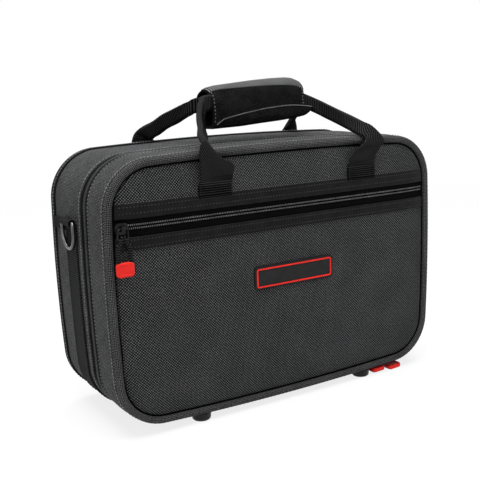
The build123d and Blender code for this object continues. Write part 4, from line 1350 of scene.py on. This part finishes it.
def make_linings():
    """The foam walls of both halves, covered in smooth lining, and the pocket's lining."""
    halves = {"base": (BASE_WALL_FRONT, BASE_WALL_REAR), "lid": (LID_WALL_FRONT, LID_WALL_REAR)}
    for word, depths in halves.items():
        wall = rim_piece(word + "_wall_pad", wall_section(*depths), waves=0.25)
        finish_piece(wall, LINING, "foam", word, word + "_foam")

    def flat_depth(x, z):
        return POCKET_LINING + 0.1 * ripple(x, z)

    sheet = panel_mesh(flat_depth, inset_by=PAD_INSET + 0.6, grid=8.0)
    lining = sheet_piece("pocket_lining_sheet", *sheet, 0.5)
    finish_piece(lining, PLUSH, "plush", "lid", "pocket_lining")


PAD_HALF = 3.4
CHANNEL_SPACING = 34.0
CHANNEL_WIDTH = 2.6
PUFF_PRESSURE = 4.0
PUFF_FRAMES = 20


def settled(piece):
    """Makes a piece's modifiers part of its mesh."""
    seen = piece.evaluated_get(bpy.context.evaluated_depsgraph_get())
    mesh = bpy.data.meshes.new_from_object(seen)
    piece.modifiers.clear()
    piece.data = mesh
    mesh.shade_smooth()
    return piece


def even_mesh(piece, voxel, relax):
    """The same form in small even faces, with its edges eased."""
    remesh = piece.modifiers.new("even", "REMESH")
    remesh.mode = "VOXEL"
    remesh.voxel_size = voxel * MM
    ease = piece.modifiers.new("ease", "SMOOTH")
    ease.factor = 0.5
    ease.iterations = relax
    return settled(piece)


def coordinates(mesh):
    """A mesh's vertices as rows of x, y and z."""
    flat = np.empty(3 * len(mesh.vertices))
    mesh.vertices.foreach_get("co", flat)
    return flat.reshape(-1, 3)


def puff(piece, cap):
    """Swells a padded piece by cloth simulation; no point moves further than cap."""
    start = coordinates(piece.data)
    cloth = piece.modifiers.new("puff", "CLOTH")
    cloth.settings.use_pressure = True
    cloth.settings.uniform_pressure_force = PUFF_PRESSURE
    cloth.settings.effector_weights.gravity = 0.0
    cloth.point_cache.frame_start = 1
    cloth.point_cache.frame_end = PUFF_FRAMES
    for step in range(1, PUFF_FRAMES + 1):
        bpy.context.scene.frame_set(step)
    seen = piece.evaluated_get(bpy.context.evaluated_depsgraph_get())
    move = coordinates(seen.data) - start
    piece.modifiers.remove(cloth)
    bpy.context.scene.frame_set(1)
    reach = np.linalg.norm(move, axis=1, keepdims=True)
    move = move * np.minimum(1, cap * MM / np.maximum(reach, 1e-9))
    piece.data.vertices.foreach_set("co", (start + move).ravel())
    piece.data.update()


def sew_channels(piece, sink):
    """Draws a padded piece in along level seams, on both its faces."""
    points = coordinates(piece.data) / MM - np.array([0, FRONT_Y, CENTRE_Z])
    middle = (PAD_FRONT + PAD_REAR) / 2
    half = CHANNEL_SPACING / 2
    away = np.abs((points[:, 2] + half) % CHANNEL_SPACING - half)
    reach = np.clip((inset(points[:, 0], points[:, 2]) - PAD_INSET) / 6.0, 0, 1)
    drawn = 1 - sink * reach * np.exp(-((away / CHANNEL_WIDTH) ** 2))
    points[:, 1] = middle + np.clip(points[:, 1] - middle, -PAD_HALF, PAD_HALF) * drawn
    piece.data.vertices.foreach_set("co", to_frame(points).ravel())
    piece.data.update()


def make_lid_pad():
    """The lid's quilted pad."""

    def face(x, z):
        return np.full_like(x, PAD_FRONT + 1.2)

    pad = sheet_piece("lid_pad_quilt", *panel_mesh(face, inset_by=PAD_INSET + 1.0), 4.6)
    even_mesh(pad, 4.0, 2)
    puff(pad, 2.0)
    finer = pad.modifiers.new("finer", "SUBSURF")
    finer.levels = finer.render_levels = 1
    settled(pad)
    sew_channels(pad, 0.5)
    finish_piece(pad, PLUSH, "plush", "lid", "lid_pad")


def make_insert():
    """The plush insert: the frame's own form, with its edges eased by the pile."""
    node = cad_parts["clarinet_insert"]
    insert = bpy.data.objects.new("insert_plush", node.data.copy())
    bpy.context.scene.collection.objects.link(insert)
    insert.matrix_world = node.matrix_world.copy()
    even_mesh(insert, 2.4, 6)
    finish_piece(insert, PLUSH, "plush", "base", "clarinet_insert")


make_shell()
make_panels()
make_band()
make_main_zip()
make_pocket_coil()
make_hinge()
make_side_webbing()
make_fittings()
make_straps()
make_grip()
make_pulls()
make_linings()
make_lid_pad()
make_insert()


# ---- floor, light and background ----

WORLD_LIGHT = 0.34
FLOOR_REACH = 12.0


def seen_plainly(tree):
    """1 for rays that show a background: straight from the camera, in gloss or through glass."""
    rays = tree.nodes.new("ShaderNodeLightPath").outputs
    total = rays["Is Camera Ray"]
    for name in ("Is Glossy Ray", "Is Transmission Ray"):
        total = add_node(tree, "ShaderNodeMath", {0: total, 1: rays[name]}, operation="MAXIMUM").outputs[0]
    return total


def make_world():
    world = bpy.data.worlds.new("studio")
    bpy.context.scene.world = world
    world.use_nodes = True
    tree = world.node_tree
    light = tree.nodes["Background"]
    light.inputs["Color"].default_value = (1, 1, 1, 1)
    inputs = {"Value": seen_plainly(tree), "To Min": WORLD_LIGHT, "To Max": 1.0}
    strength = add_node(tree, "ShaderNodeMapRange", inputs)
    tree.links.new(strength.outputs["Result"], light.inputs["Strength"])


def floor_material():
    """Pale grey that glows towards white away from the case, for rays that show a background."""
    paint = Paint("floor", 1.0, 0.0)
    paint.put("Base Color", (0.85, 0.85, 0.85, 1))
    place = paint.add("ShaderNodeTexCoord", {}).outputs["Object"]
    away = paint.add("ShaderNodeVectorMath", {0: place}, operation="LENGTH").outputs["Value"]
    inputs = {"Value": away, "From Min": 0.35, "From Max": 1.6, "To Min": 0.8, "To Max": 1.0}
    far = paint.add("ShaderNodeMapRange", inputs).outputs["Result"]
    share = paint.math("MULTIPLY", seen_plainly(paint.tree), far)
    glow = paint.add("ShaderNodeEmission", {}).outputs[0]
    mix = paint.add("ShaderNodeMixShader", {0: share, 1: paint.shader.outputs[0], 2: glow}).outputs[0]
    paint.tree.links.new(mix, paint.tree.nodes["Material Output"].inputs["Surface"])
    return paint.material


def make_floor():
    """A white sweep that reads as the background and keeps the case's shadow."""
    mesh = bpy.data.meshes.new("floor")
    corners = [(x * FLOOR_REACH, y * FLOOR_REACH, 0) for x, y in ((-1, -1), (1, -1), (1, 1), (-1, 1))]
    mesh.from_pydata(corners, [], [(0, 1, 2, 3)])
    mesh.materials.append(floor_material())
    floor = bpy.data.objects.new("floor", mesh)
    bpy.context.scene.collection.objects.link(floor)


def make_lamp(name, place, target, size, power):
    """A soft rectangular lamp aimed at a target; size in metres and power in watts."""
    data = bpy.data.lights.new(name, "AREA")
    data.shape = "RECTANGLE"
    data.size, data.size_y = size
    data.energy = power
    lamp = bpy.data.objects.new(name, data)
    lamp.location = place
    aim = Vector(target) - Vector(place)
    lamp.rotation_euler = aim.to_track_quat("-Z", "Y").to_euler()
    bpy.context.scene.collection.objects.link(lamp)


LAMPS = {
    "overhead": ((-0.1, 0.0, 1.7), (0, 0, 0.1), (1.8, 1.4), 46),
    "front": ((0.5, -2.2, 1.2), (0, 0, 0.12), (1.2, 1.0), 3.5),
    "near": ((0.0, -0.36, 0.62), (0, -0.06, 0.2), (0.8, 0.2), 1.6),
    "left": ((-2.0, -0.6, 0.9), (0, 0, 0.12), (1.0, 1.0), 9),
}

make_world()
make_floor()
for name, lamp in LAMPS.items():
    make_lamp(name, *lamp)
bpy.context.scene.view_settings.view_transform = "Standard"
